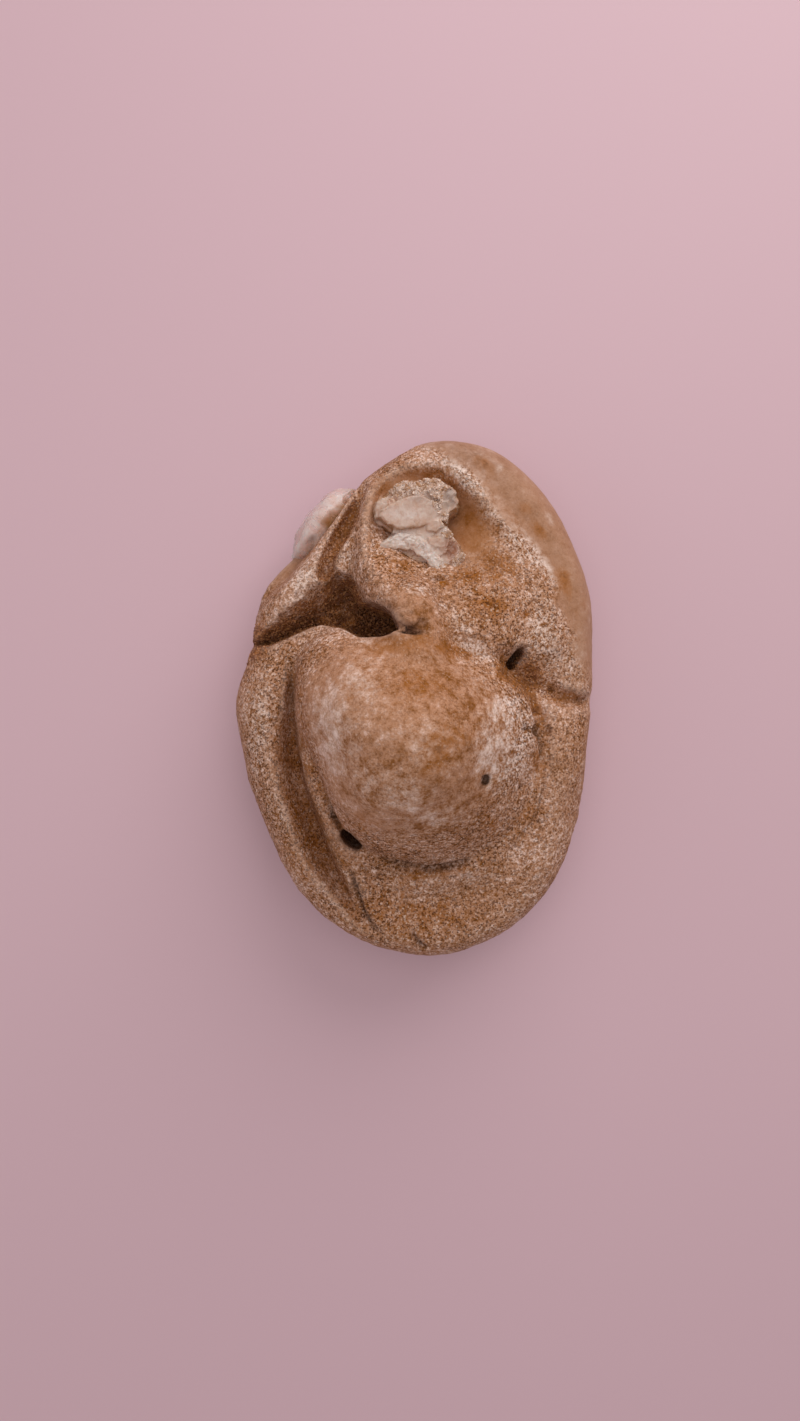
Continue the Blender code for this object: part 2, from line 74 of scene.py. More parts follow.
# Every 45 degrees from +X: distance from the middle to the foot, and how slack the side is
DOME_FOOT = [14.8, 14.2, 12.6, 14.6, 11.3, 11.2, 13.4, 14.6]
DOME_SLACKNESS = [1.35, 1.35, 1.0, 0.74, 0.66, 0.74, 1.05, 1.3]
RIDGE_FALL = 2.2  # how far a ridge falls at its half width
RIDGE_BLEND = 0.5
# Ridges, each a line of (x, y, height of the crest, half width)
LIP = [
    (-15.2, 4.6, 15.0, 1.7), (-16.2, 1.2, 15.6, 1.9), (-16.6, -2.5, 15.8, 2.0), (-15.9, -7.0, 15.8, 2.0),
    (-14.6, -11.5, 15.7, 2.0), (-12.6, -15.8, 15.4, 2.0), (-9.8, -19.8, 15.0, 2.0),
    (-6.6, -22.8, 14.2, 2.0),
]
LEDGE = [
    (-12.4, 1.6, 16.4, 0.9), (-12.0, -2.5, 17.2, 1.1), (-11.1, -7.2, 16.9, 1.4), (-9.7, -11.8, 16.3, 1.7),
    (-7.7, -16.0, 15.7, 2.0), (-5.8, -20.4, 14.8, 2.2),
]
TOP_LEFT_RIDGE = [
    (-16.4, 7.9, 14.8, 1.6), (-14.2, 10.0, 15.8, 2.1), (-11.6, 12.9, 16.0, 1.7), (-9.7, 16.0, 15.8, 1.2),
    (-7.9, 19.0, 15.6, 1.0), (-6.2, 21.8, 15.4, 1.0),
]
HOLLOW_WALL = [
    (-5.0, 22.0, 15.8, 1.0), (-5.5, 18.0, 16.4, 1.1), (-5.0, 14.0, 18.2, 1.5), (-3.4, 11.0, 20.4, 2.2),
    (-1.2, 8.6, 22.6, 3.0), (-1.0, 4.0, 24.0, 4.0),
]
ARCH = [
    (-5.0, 21.8, 15.4, 1.0), (-3.1, 23.9, 15.4, 1.1), (-0.6, 25.0, 15.3, 1.4), (2.0, 25.0, 15.3, 1.6),
    (4.6, 23.6, 15.5, 1.8), (6.6, 21.2, 15.7, 2.0), (9.4, 17.6, 15.9, 2.2), (11.7, 14.0, 16.2, 2.3),
    (13.5, 10.2, 16.4, 2.3), (14.5, 6.0, 16.4, 2.3),
]
OVAL_REACH = 1.3  # how far past its rim an oval swell or patch fades out, as a share of the oval
# Broad swells and dishes, each (x, y, half length, half width, turn in degrees, rise or fall)
SWELLS = {
    "saddle": (4.0, 7.2, 10.5, 6.6, -22, 5.0),
    "lobe_shoulder": (-3.4, 13.6, 3.4, 5.0, 12, 2.2),
    "lobe_slope": (9.6, 12.6, 7.0, 4.6, -52, 2.0),
    "right_shoulder": (13.6, -6.0, 5.0, 13.0, 6, 1.2),
    "bottom_fall": (0.0, -28.0, 18.0, 10.5, 0, -3.8),
}
DISHES = {
    "hollow": (0.8, 19.6, 6.2, 4.8, -30, -3.0),
    "bottom_valley": (1.6, -17.4, 9.5, 1.9, 8, -0.7),
    "shell_edge_dip": (12.2, 2.6, 3.6, 2.4, -38, -1.0),
}
CHANNEL_FLOOR = 0.1  # where a channel's gentle side starts and ends, as shares of its reach
CHANNEL_BRIM = 1.3
CHANNEL_WALL = 0.8  # width of its steep side
# Channels, each a line of (x, y, depth, reach), that fall gently from the right of the line's direction and
# end in a steep wall on its left
LIP_GROOVE = [
    (-13.2, 3.6, 0.3, 0.5), (-13.1, 0.6, 2.2, 0.9), (-13.1, -3.6, 3.1, 1.4), (-12.9, -6.4, 3.3, 1.5),
    (-12.2, -9.8, 3.4, 1.9), (-11.2, -12.8, 3.4, 2.1), (-10.0, -15.8, 3.3, 2.2), (-8.7, -18.8, 2.8, 1.7),
    (-7.2, -21.6, 1.8, 1.0), (-5.6, -24.2, 0.5, 0.5),
]
SHELL_EDGE_STEP = [
    (12.8, -8.4, 0.1, 0.8), (12.9, -5.2, 0.5, 0.9), (12.7, -2.6, 0.8, 1.0), (12.0, -0.4, 1.0, 1.2),
    (10.9, 1.3, 1.3, 1.8), (9.2, 2.9, 1.4, 2.2),
]
GROOVE_FLOOR = 0.35  # where a groove's floor ends and its brim begins, in half widths
GROOVE_BRIM = 1.35
# Grooves, each a line of (x, y, depth, half width)
LEDGE_CREASE = [
    (-11.7, -3.2, 0.2, 0.2), (-11.1, -6.0, 0.4, 0.25), (-9.9, -9.4, 0.5, 0.3), (-8.8, -12.0, 0.6, 0.3),
    (-8.0, -13.6, 0.9, 0.4), (-5.6, -15.9, 0.6, 0.4), (-3.2, -16.9, 0.2, 0.5),
]
RIDGE_GROOVE = [
    (-9.9, 13.2, 2.0, 0.8), (-9.1, 15.8, 2.0, 0.8), (-7.9, 17.9, 2.4, 0.9), (-6.8, 20.2, 2.2, 0.75),
    (-5.8, 22.8, 0.6, 0.4),
]
FLANK_SHELF = [
    (-18.4, 9.6, 0.6, 1.0), (-15.9, 12.2, 2.6, 1.4), (-13.6, 15.4, 3.4, 1.5), (-11.6, 18.4, 3.4, 1.5),
    (-9.4, 21.2, 2.8, 1.3), (-7.2, 23.6, 0.8, 0.9),
]
WAIST_DIP = [
    (14.0, 0.7, 0.7, 1.3), (15.6, -0.1, 1.3, 0.9), (17.2, -0.4, 1.0, 0.9), (19.0, -0.5, 0.6, 0.9),
]
# Openings: each corner is (x, y) at the brim, then (x, y, z) at the floor
BRIM_HEIGHT = 17.0
CEILING = 34.0  # above all of the stone
OPENINGS = {
    "cleft": [
        ((-21.0, 4.9), (-21.0, 5.4, 8.0)), ((-15.7, 5.2), (-15.7, 5.8, 10.2)),
        ((-12.8, 6.5), (-12.8, 7.1, 11.0)), ((-10.2, 7.6), (-10.0, 8.0, 9.8)),
        ((-8.1, 7.2), (-8.0, 7.7, 8.8)), ((-5.9, 6.0), (-5.8, 6.6, 8.6)), ((-3.4, 6.0), (-3.2, 6.5, 9.0)),
        ((-1.7, 6.7), (-1.0, 7.0, 10.0)), ((-3.0, 8.8), (-2.2, 8.8, 9.2)),
        ((-5.3, 10.0), (-5.2, 9.8, 8.8)), ((-6.3, 12.2), (-6.8, 10.7, 9.0)),
        ((-7.0, 13.8), (-7.2, 12.0, 10.0)), ((-8.6, 14.4), (-8.0, 11.8, 10.0)),
        ((-10.6, 13.2), (-9.0, 9.8, 9.6)), ((-12.8, 10.6), (-12.0, 7.9, 10.6)),
        ((-16.4, 8.4), (-15.2, 6.3, 10.2)), ((-21.0, 7.0), (-21.0, 6.0, 8.0)),
    ],
    "side_hole": [
        ((9.2, 3.3), (8.2, 3.2, 12.0)), ((10.3, 5.0), (9.2, 4.6, 12.0)), ((11.2, 5.6), (10.2, 5.0, 12.8)),
        ((11.3, 4.5), (10.3, 4.1, 13.2)), ((10.9, 3.6), (9.9, 3.4, 12.6)),
        ((11.2, 2.9), (10.0, 2.9, 13.4)), ((10.2, 2.9), (9.2, 2.8, 12.4)),
    ],
    "side_notch": [
        ((15.2, -0.1), (15.8, -0.3, 14.4)), ((16.4, -0.9), (16.6, -0.5, 13.4)),
        ((21.5, -1.3), (21.5, -0.7, 9.4)), ((21.5, 0.5), (21.5, 0.1, 9.4)),
        ((16.6, 0.5), (16.8, 0.0, 13.4)),
    ],
}
# Pits, each (x, y, z, half length, half width, half depth, turn in degrees)
PITS = [
    (-7.0, -14.9, 14.8, 1.5, 0.75, 4.0, -42),
    (-3.0, 7.7, 12.0, 2.6, 1.5, 2.4, -8),
    (13.6, 0.7, 16.0, 0.7, 0.55, 1.2, -30),
    (6.6, -8.4, 22.4, 0.6, 0.35, 1.0, 60),
]
# Cracks, each a line of (x, y, depth, half width)
CRACKS = [
    [(-0.7, -24.7, 0.1, 0.2), (-0.2, -25.7, 0.5, 0.25), (0.5, -26.7, 0.6, 0.3), (1.3, -26.9, 0.2, 0.2)],
    [(12.4, -2.6, 0.2, 0.2), (12.7, -3.8, 0.7, 0.3), (12.9, -5.4, 0.5, 0.25), (13.1, -7.0, 0.1, 0.2)],
    [(-2.2, 6.9, 0.6, 0.4), (-0.8, 6.7, 1.6, 0.5), (0.8, 6.4, 0.3, 0.3)],
    [(-7.2, -17.8, 0.1, 0.25), (-6.8, -19.4, 0.5, 0.35), (-6.5, -21.0, 0.8, 0.4), (-5.9, -22.7, 0.7, 0.4),
     (-5.0, -24.2, 0.5, 0.4), (-3.2, -25.9, 0.1, 0.3)],
    [(0.8, 12.8, 0.1, 0.2), (1.9, 12.4, 0.5, 0.25), (3.4, 12.4, 0.1, 0.2)],
    [(-5.0, -16.8, 0.05, 0.4), (-2.0, -17.6, 0.5, 0.45), (0.0, -18.0, 0.3, 0.5), (1.4, -18.1, 0.7, 0.4),
     (4.0, -17.7, 0.6, 0.45), (6.4, -16.9, 0.05, 0.4)],
    [(-9.6, -10.4, 0.1, 0.25), (-8.9, -12.2, 0.5, 0.3), (-8.1, -13.6, 0.4, 0.3)],
    [(13.3, -8.4, 0.2, 0.25), (12.4, -12.4, 0.3, 0.25), (9.8, -16.4, 0.15, 0.3)],
]
# Pinholes, each (x, y, radius, depth)
PINHOLES = [
    (12.3, -3.4, 0.44, 0.9), (13.7, -3.5, 0.3, 0.6), (11.1, -3.4, 0.34, 0.7), (12.4, -1.6, 0.3, 0.5),
    (10.6, -9.4, 0.22, 0.5), (5.2, -19.0, 0.3, 0.7), (3.7, -19.1, 0.22, 0.5), (12.7, -13.1, 0.24, 0.6),
    (13.3, -13.0, 0.18, 0.4), (6.6, -8.2, 0.34, 0.9), (-12.7, 10.7, 0.34, 0.5), (-14.4, 8.6, 0.25, 0.4),
    (0.4, 7.3, 0.5, 0.6), (-0.9, 8.2, 0.3, 0.3), (1.8, 10.9, 0.26, 0.4), (0.9, 13.8, 0.2, 0.3),
    (14.2, 0.8, 0.34, 0.5), (11.3, 8.6, 0.3, 0.3), (-8.9, 13.6, 0.3, 0.3),
]
CROWDING = 1.3  # how closely corners crowd towards the widest line, where the surface is steep
CROWDING_EASE = 0.9
BALL_SPLITS = 7  # how often the ball that becomes the stone is split into smaller faces
SKIN = 0.286  # size of the faces of the finished skin
SKIN_WEAR = 2  # rounds of wear on the skin's steps


def ease(value, low, high):
    """0 up to low, 1 from high, and smooth between them."""
    share = np.clip((value - low) / (high - low), 0.0, 1.0)
    return share * share * (3 - 2 * share)


def soft_lower(a, b, blend):
    return -blend * np.logaddexp(-a / blend, -b / blend)


def soft_higher(a, b, blend):
    return blend * np.logaddexp(a / blend, b / blend)


def round_ring(values, angle):
    """A smooth closed curve through values spaced evenly round the circle, read at each angle."""
    waves = np.fft.rfft(values) / len(values)
    total = np.full(np.shape(angle), waves[0].real)
    for turn, wave in enumerate(waves[1:], 1):
        weight = 1 if 2 * turn == len(values) else 2
        total = total + weight * (wave * np.exp(1j * turn * angle)).real
    return total


def rounded_line(corners, steps=6):
    """The corners of a line with a smooth curve drawn through them."""
    points = np.array(corners, float)
    padded = np.vstack([2 * points[0] - points[1], points, 2 * points[-1] - points[-2]])
    curve = []
    for before, start, end, after in zip(padded, padded[1:], padded[2:], padded[3:]):
        for t in np.arange(steps) / steps:
            slope = (2 * before - 5 * start + 4 * end - after) * t
            bend = (3 * start - before - 3 * end + after) * t * t
            curve.append(start + 0.5 * t * (end - before + slope + bend))
    curve.append(points[-1])
    return np.array(curve)


def nearest_on_line(corners, x, y):
    """Distance to a line, positive on the left of its direction, and its other values at the nearest spot."""
    curve = rounded_line(corners)
    nearest = np.full(x.shape, np.inf)
    values = np.zeros((curve.shape[1] - 2, *x.shape))
    for start, end in zip(curve, curve[1:]):
        run, rise = end[:2] - start[:2]
        across_x, across_y = x - start[0], y - start[1]
        t = np.clip((across_x * run + across_y * rise) / max(run**2 + rise**2, 1e-9), 0, 1)
        distance = np.hypot(across_x - t * run, across_y - t * rise)
        closer = distance < np.abs(nearest)
        nearest = np.where(closer, np.copysign(distance, run * across_y - rise * across_x), nearest)
        for row in range(len(values)):
            values[row] = np.where(closer, start[2 + row] + t * (end - start)[2 + row], values[row])
    return nearest, *values


def in_oval(x, y, middle_x, middle_y, half_length, half_width, turn):
    """1 in the middle of a turned oval, fading to 0 a little outside it."""
    cos, sin = math.cos(math.radians(turn)), math.sin(math.radians(turn))
    u = ((x - middle_x) * cos + (y - middle_y) * sin) / half_length
    v = ((y - middle_y) * cos - (x - middle_x) * sin) / half_width
    return 1 - ease(np.hypot(u, v), 0.0, OVAL_REACH)


def swells(shapes, x, y):
    return sum(rise * in_oval(x, y, *oval) for *oval, rise in shapes.values())


def with_ridge(height, line, x, y):
    """The surface with a rounded ridge laid over it."""
    distance, crest, half_width = nearest_on_line(line, x, y)
    ridge = crest - RIDGE_FALL * (distance / half_width) ** 2
    return soft_higher(height, np.maximum(ridge, 0), RIDGE_BLEND)


def groove_fall(line, x, y):
    distance, depth, half_width = nearest_on_line(line, x, y)
    return depth * (1 - ease(np.abs(distance), GROOVE_FLOOR * half_width, GROOVE_BRIM * half_width))


def channel_fall(line, x, y):
    distance, depth, reach = nearest_on_line(line, x, y)
    gentle = 1 - ease(-distance, CHANNEL_FLOOR * reach, CHANNEL_BRIM * reach)
    steep = 1 - ease(distance, CHANNEL_FLOOR, CHANNEL_WALL)
    return depth * np.where(distance < 0, gentle, steep)


def dome_height(x, y):
    angle = np.arctan2(y - DOME_MIDDLE[1], x - DOME_MIDDLE[0])
    reach = np.hypot(x - DOME_MIDDLE[0], y - DOME_MIDDLE[1]) / round_ring(DOME_FOOT, angle)
    side = np.clip(1 - reach**2, 0, 1) ** round_ring(DOME_SLACKNESS, angle)
    return RIM_HEIGHT + (DOME_TOP - RIM_HEIGHT) * side - DOME_MOAT * ease(reach, 1.0, DOME_MOAT_END)


def face_height(x, y, edge_share):
    """Height of the upper face, where edge_share is 0 in the middle and 1 at the widest line."""
    height = soft_higher(FACE_HEIGHT + swells(SWELLS, x, y), dome_height(x, y), DOME_BLEND)
    for line in (ARCH, HOLLOW_WALL, TOP_LEFT_RIDGE, LIP, LEDGE):
        height = with_ridge(height, line, x, y)
    height = height + swells(DISHES, x, y)
    edge = EDGE_HEIGHT + EDGE_ROUNDING * np.sqrt(np.clip(1 - edge_share**EDGE_SQUARENESS, 0, 1))
    height = soft_lower(height, edge + EDGE_LIFT * (1 - ease(edge_share, EDGE_START, EDGE_FULL)), EDGE_BLEND)
    for line in (LIP_GROOVE, SHELL_EDGE_STEP):
        height = height - channel_fall(line, x, y)
    for line in (LEDGE_CREASE, RIDGE_GROOVE, FLANK_SHELF, WAIST_DIP):
        height = height - groove_fall(line, x, y)
    # No groove reaches below the widest line, where the upper face ends
    return np.maximum(height, EDGE_HEIGHT + EDGE_LEAST * (edge - EDGE_HEIGHT))


def underside_height(edge_share):
    """A bowl with a flat worn middle, which the stone lies on."""
    slope = np.clip((edge_share - UNDERSIDE_FLAT) / (1 - UNDERSIDE_FLAT), 0, 1)
    return EDGE_HEIGHT * (1 - np.sqrt(1 - slope**UNDERSIDE_SQUARENESS))


def read_rows(things, field, width, kind):
    """One row of numbers for each of a mesh's points, normals or edges."""
    numbers = np.empty(len(things) * width, kind)
    things.foreach_get(field, numbers)
    return numbers.reshape(-1, width)


def places_of(mesh):
    return read_rows(mesh.vertices, "co", 3, np.float32).astype(float)


def normals_of(mesh):
    return read_rows(mesh.vertex_normals, "vector", 3, np.float32).astype(float)


def edges_of(mesh):
    return read_rows(mesh.edges, "vertices", 2, np.int32)


def move_to(mesh, places):
    mesh.vertices.foreach_set("co", places.astype(np.float32).ravel())
    mesh.update()


def new_object(name, mesh):
    made = bpy.data.objects.new(name, mesh)
    bpy.context.scene.collection.objects.link(made)
    return made


def object_from(name, mesh_tool):
    mesh = bpy.data.meshes.new(name)
    mesh_tool.to_mesh(mesh)
    mesh_tool.free()
    return new_object(name, mesh)


def add_skin(thing, face_size):
    """Closes what overlaps or is cut into one fine skin."""
    skin = thing.modifiers.new("skin", "REMESH")
    skin.mode = "VOXEL"
    skin.voxel_size = face_size


def finished_mesh(thing):
    """The object's mesh with its modifiers carried out."""
    bpy.context.view_layer.update()
    graph = bpy.context.evaluated_depsgraph_get()
    return bpy.data.meshes.new_from_object(thing.evaluated_get(graph))


def remove(things):
    for thing in things:
        bpy.data.objects.remove(thing, do_unlink=True)


def worn_pebble():
    """The stone before its openings are cut, in millimetres."""
    ball = bmesh.new()
    bmesh.ops.create_icosphere(ball, subdivisions=BALL_SPLITS, radius=1.0)
    pebble = object_from("pebble", ball)
    spots = places_of(pebble.data)
    angle = np.arctan2(spots[:, 1], spots[:, 0])
    from_axis = np.hypot(spots[:, 0], spots[:, 1])
    edge_share = np.sin(0.5 * np.pi * from_axis**CROWDING) ** CROWDING_EASE
    reach = edge_share * round_ring(OUTLINE, angle) * LENGTH / 2
    x, y = reach * np.cos(angle), reach * np.sin(angle)
    z = np.where(spots[:, 2] >= 0, face_height(x, y, edge_share), underside_height(edge_share))
    places = np.column_stack([x, y, z])
    noise.seed_set(UNEVENNESS_SEED)
    wander = np.array([noise.noise_vector(Vector(place)) for place in places / UNEVENNESS_SPREAD])
    lift = np.minimum(1.0, z / EDGE_HEIGHT)[:, None]
    move_to(pebble.data, places + UNEVENNESS * lift * wander)
    return pebble


def wall_between(block, lower, upper):
    """Faces all the way round between two rings of corners."""
    corners = zip(lower, lower[1:] + lower[:1], upper[1:] + upper[:1], upper)
    return [block.faces.new(four) for four in corners]


def opening_cutter(name, corners):
    """A block that widens from the opening's floor to its brim, and goes straight up from there."""
    block = bmesh.new()
    rings = [[block.verts.new(foot) for _, foot in corners]]
    for height in (BRIM_HEIGHT, CEILING):
        rings.append([block.verts.new((*spot, height)) for spot, _ in corners])
    for lower, upper in zip(rings, rings[1:]):
        wall_between(block, lower, upper)
    block.faces.new(rings[0])
    block.faces.new(rings[-1])
    bmesh.ops.triangulate(block, faces=block.faces[:])
    bmesh.ops.recalc_face_normals(block, faces=block.faces)
    return object_from(name, block)


def pit_cutter(name, pit):
    """A turned oval ball."""
    x, y, z, half_length, half_width, half_depth, turn = pit
    oval = bmesh.new()
    bmesh.ops.create_icosphere(oval, subdivisions=4, radius=1.0)
    cos, sin = math.cos(math.radians(turn)), math.sin(math.radians(turn))
    for corner in oval.verts:
        u, v = corner.co.x * half_length, corner.co.y * half_width
        corner.co = Vector((x + u * cos - v * sin, y + u * sin + v * cos, z + corner.co.z * half_depth))
    return object_from(name, oval)


def carved_skin(pebble, cutters):
    """The pebble with its openings cut, closed into one fine skin."""
    for cutter in cutters:
        cut = pebble.modifiers.new(cutter.name, "BOOLEAN")
        cut.operation = "DIFFERENCE"
        cut.object = cutter
        cut.solver = "EXACT"
    add_skin(pebble, SKIN)
    wear = pebble.modifiers.new("wear", "SMOOTH")
    wear.factor = 0.5
    wear.iterations = SKIN_WEAR
    return finished_mesh(pebble)


def evened_out(values, edges, rounds):
    """Each point's values averaged with its neighbours' again and again."""
    neighbours = np.bincount(edges.ravel(), minlength=len(values))[:, None]
    for _ in range(rounds):
        total = np.zeros_like(values)
        for here, there in ((0, 1), (1, 0)):
            for column in range(values.shape[1]):
                total[:, column] += np.bincount(
                    edges[:, here], values[edges[:, there], column], minlength=len(values)
                )
        values = 0.5 * values + 0.5 * total / neighbours
    return values


def hollowness(mesh, rounds):
    """How far each point lies below the ground around it. More rounds look further round."""
    places = places_of(mesh)
    return ((evened_out(places, edges_of(mesh), rounds) - places) * normals_of(mesh)).sum(axis=1)


def lumps(places, height, spread, shift=0.0):
    """Smooth noise that rises and falls by up to that height, with lumps of that spread."""
    return height * np.array([noise.noise(Vector(place)) for place in places / spread + shift])


def mark(mesh, masks):
    """Keeps each mask on the mesh under its name, for the material to read."""
    for name, values in masks.items():
        attribute = mesh.attributes.new(name, "FLOAT", "POINT")
        attribute.data.foreach_set("value", np.clip(values, 0, 1).astype(np.float32))


# Where iron has stained the rock, each (x, y, half length, half width, turn in degrees, strength)
IRON_PATCHES = [
    (5.8, 18.0, 2.4, 5.2, 26, 0.85), (8.4, 13.6, 3.6, 2.6, -52, 0.95), (5.4, 12.6, 3.0, 1.6, 14, 0.95),
    (0.4, 23.9, 3.4, 1.0, -4, 0.9), (-3.9, 22.2, 1.8, 0.9, 52, 0.9), (3.6, 22.6, 1.4, 0.8, -50, 0.7),
    (-1.6, 13.6, 2.8, 1.1, -14, 0.7), (12.4, 2.4, 2.6, 1.8, -40, 0.9), (15.8, 0.0, 3.2, 1.2, 0, 0.7),
    (1.8, -18.6, 5.0, 1.1, 6, 0.75), (-0.6, 0.8, 4.6, 2.4, 0, 0.5), (2.0, -4.6, 2.6, 4.6, -20, 0.6),
    (-1.4, 5.0, 6.0, 1.8, 6, 0.6), (-9.5, 12.4, 2.6, 0.9, 76, 0.95), (-11.2, 9.6, 3.0, 1.3, 20, 0.85),
    (13.0, 17.6, 2.4, 0.9, -55, 0.65), (15.6, 12.6, 2.6, 1.0, -70, 0.75),
    (7.0, 25.2, 2.8, 1.0, -24, 0.55), (11.6, 20.0, 1.2, 0.9, -40, 0.6), (4.0, 26.5, 1.4, 0.5, 0, 0.6),
    (-13.4, 15.2, 3.6, 1.8, 55, 0.7), (7.8, -13.6, 1.8, 2.2, 0, 0.5), (-3.4, -19.4, 3.4, 1.4, 10, 0.4),
    (12.6, -6.6, 1.2, 4.6, 4, 0.65), (11.4, -13.0, 1.4, 3.8, -32, 0.6), (0.0, -22.8, 9.0, 5.0, 0, 0.6),
    (-5.2, -12.8, 2.6, 1.4, -50, 0.5), (7.4, 9.4, 3.6, 2.2, -36, 0.7), (2.9, 11.8, 1.2, 0.5, -10, 0.9),
    (11.4, 8.8, 1.2, 0.5, 10, 0.9), (14.2, 0.8, 0.8, 0.7, 0, 1.0), (3.4, 4.6, 3.4, 1.0, -8, 0.75),
    (6.2, -9.4, 1.6, 1.2, 0, 0.5),
]
# Lines that it has stained, each (line, strength, reach in half widths)
IRON_LINES = [
    (LIP_GROOVE, 0.48, 2.4), (RIDGE_GROOVE, 0.6, 1.6), (LEDGE_CREASE, 0.7, 1.8), (SHELL_EDGE_STEP, 0.8, 0.9),
]
# Where the rock is bleached pale, in the same form as the iron
PALE_PATCHES = [
    (-11.8, 13.0, 3.0, 1.5, 50, 0.9), (-7.5, 14.8, 0.9, 1.5, 0, 0.7), (-0.2, 10.9, 2.2, 0.8, -14, 0.9),
    (-12.4, 10.4, 1.4, 0.25, 14, 1.0), (2.4, 9.2, 0.8, 0.5, -30, 0.9), (4.4, 7.6, 1.6, 1.2, -50, 0.6),
    (-5.2, 5.6, 1.2, 0.6, 10, 0.8), (8.8, -4.2, 3.6, 5.8, -16, 2.0), (2.0, -12.2, 5.4, 2.2, 8, 0.6),
    (-8.0, -3.6, 2.6, 4.6, 10, 0.6), (13.2, 7.0, 2.4, 4.0, 10, 0.7), (8.9, 24.6, 0.6, 0.5, 60, 0.8),
    (8.4, 21.2, 0.6, 0.4, 0, 0.7), (10.9, 14.4, 0.5, 0.5, 0, 0.9), (8.0, 13.8, 0.6, 0.5, 0, 0.8),
    (-16.8, -4.0, 1.6, 8.0, -6, 0.65), (14.2, 19.2, 0.6, 0.9, 30, 0.7), (6.8, 18.5, 0.2, 0.3, 0, 1.5),
    (5.0, 10.8, 0.9, 0.6, 0, 0.7), (5.2, -19.0, 0.8, 0.9, 0, 0.7), (9.8, 17.0, 3.4, 0.9, -52, 0.8),
    (16.6, 4.0, 1.6, 4.0, 0, 0.3), (-14.6, -12.6, 1.4, 4.4, 22, 0.5), (-2.6, 5.4, 1.4, 0.5, 6, 0.7),
    (1.4, -4.6, 3.4, 2.6, 10, 0.55), (-5.6, 1.6, 2.4, 2.4, 0, 0.5), (-1.6, -9.4, 4.0, 2.4, 0, 0.6),
    (6.4, -2.4, 1.4, 2.0, 0, 0.5), (-4.4, -8.6, 3.0, 2.6, 0, 0.5), (6.6, 1.0, 3.6, 1.6, -24, 0.4),
    (5.6, 4.8, 2.6, 1.4, -24, 0.8), (5.6, 23.0, 1.8, 1.2, -40, 0.8), (7.7, 19.7, 1.5, 1.7, -50, 0.7),
]
# The bleached crest of the arch, as (x, y, strength, half width)
PALE_CREST = [
    (3.2, 25.0, 0.7, 0.5), (4.6, 23.8, 0.9, 0.6), (5.6, 22.6, 1.3, 0.7), (6.6, 21.9, 1.2, 0.5),
    (7.6, 21.4, 0.6, 0.5), (8.3, 20.0, 0.5, 0.7), (9.6, 18.6, 0.6, 0.7), (10.8, 17.2, 0.9, 0.6),
    (12.2, 15.4, 1.3, 0.7), (13.2, 14.2, 1.2, 0.6), (14.2, 12.6, 0.7, 0.5), (14.9, 10.6, 0.3, 0.5),
]
# Smooth, waxy places, where the rock is soaked with calcite
WAX_PATCHES = [
    (-13.6, 15.6, 6.0, 2.0, 54, 1.0), (19.0, -4.0, 1.6, 7.0, -2, 0.6), (16.6, 1.0, 2.0, 4.4, 0, 0.35),
    (15.0, -8.0, 3.6, 9.0, 8, 0.4), (6.0, -21.0, 9.0, 5.0, 20, 0.3), (4.0, 10.0, 5.0, 3.6, -30, 0.3),
]
# The waxy floor of the hollow and the trough under the arch
HOLLOW_PATCHES = [
    (3.6, 18.6, 6.6, 4.4, -42, 1.6), (-1.0, 22.6, 4.2, 2.0, 10, 1.4), (-4.6, 20.4, 1.2, 3.4, -14, 0.8),
]
# The boundary of the waxy flange, which lies on its left, as (x, y)
FLANGE_EDGE = [
    (1.0, 27.0), (3.6, 25.0), (6.4, 22.4), (7.6, 19.6), (9.6, 17.4), (12.2, 14.8), (13.9, 12.2),
    (15.0, 9.0), (16.4, 4.4), (17.0, -1.0),
]
FLANGE_WANDER = [(0.8, 2.2, 5.0), (0.4, 0.8, 9.0)]  # how that boundary wanders, as lumps
# Dark earth, and painted shade in the cleft, grooves, holes, pits and cracks and below the dome's foot
EARTH_AND_SHADE_PATCHES = [
    (-3.8, 7.9, 3.4, 2.0, -20, 1.2), (-8.0, 11.8, 2.0, 0.7, -20, 0.6), (-9.6, 9.4, 0.7, 1.2, 0, 0.8),
    (-8.6, 12.7, 0.7, 0.7, 0, 0.6), (-13.6, 6.7, 2.6, 0.6, 16, 0.8), (0.2, -17.9, 6.0, 1.3, 2, 0.5),
    (-11.4, 8.1, 1.4, 0.5, 20, 0.6), (-12.6, 8.8, 1.3, 0.4, 20, 0.7), (0.4, 7.3, 0.9, 0.6, 10, 0.8),
    (-0.9, 8.2, 0.8, 0.3, 10, 0.4), (-13.4, 1.6, 0.6, 3.6, 6, 0.5), (-9.6, -14.4, 0.5, 5.4, 25, 0.3),
    (-6.6, -20.6, 0.5, 2.0, 14, 0.4), (2.4, -18.2, 1.4, 0.3, 4, 0.6), (-0.4, -17.8, 1.6, 0.35, 0, 0.8),
    (3.6, -17.6, 1.6, 0.3, 6, 0.8), (-9.0, -11.8, 0.35, 2.0, 24, 0.7), (5.5, 26.0, 6.5, 2.4, -25, 0.36),
    (12.8, -4.2, 0.25, 2.0, 4, 0.6), (10.9, -2.8, 0.5, 0.4, 0, 0.6), (10.4, 4.4, 1.4, 0.8, 60, 1.4),
    (-7.0, -14.9, 1.6, 1.0, -42, 1.6), (6.6, -8.4, 0.8, 0.6, 60, 1.3), (12.2, 1.8, 1.8, 0.7, -40, 0.4),
    (2.0, 12.4, 1.4, 0.25, -6, 0.6), (4.4, 19.6, 1.0, 1.6, -20, 0.4), (14.2, 0.7, 0.4, 0.3, 0, 0.7),
]
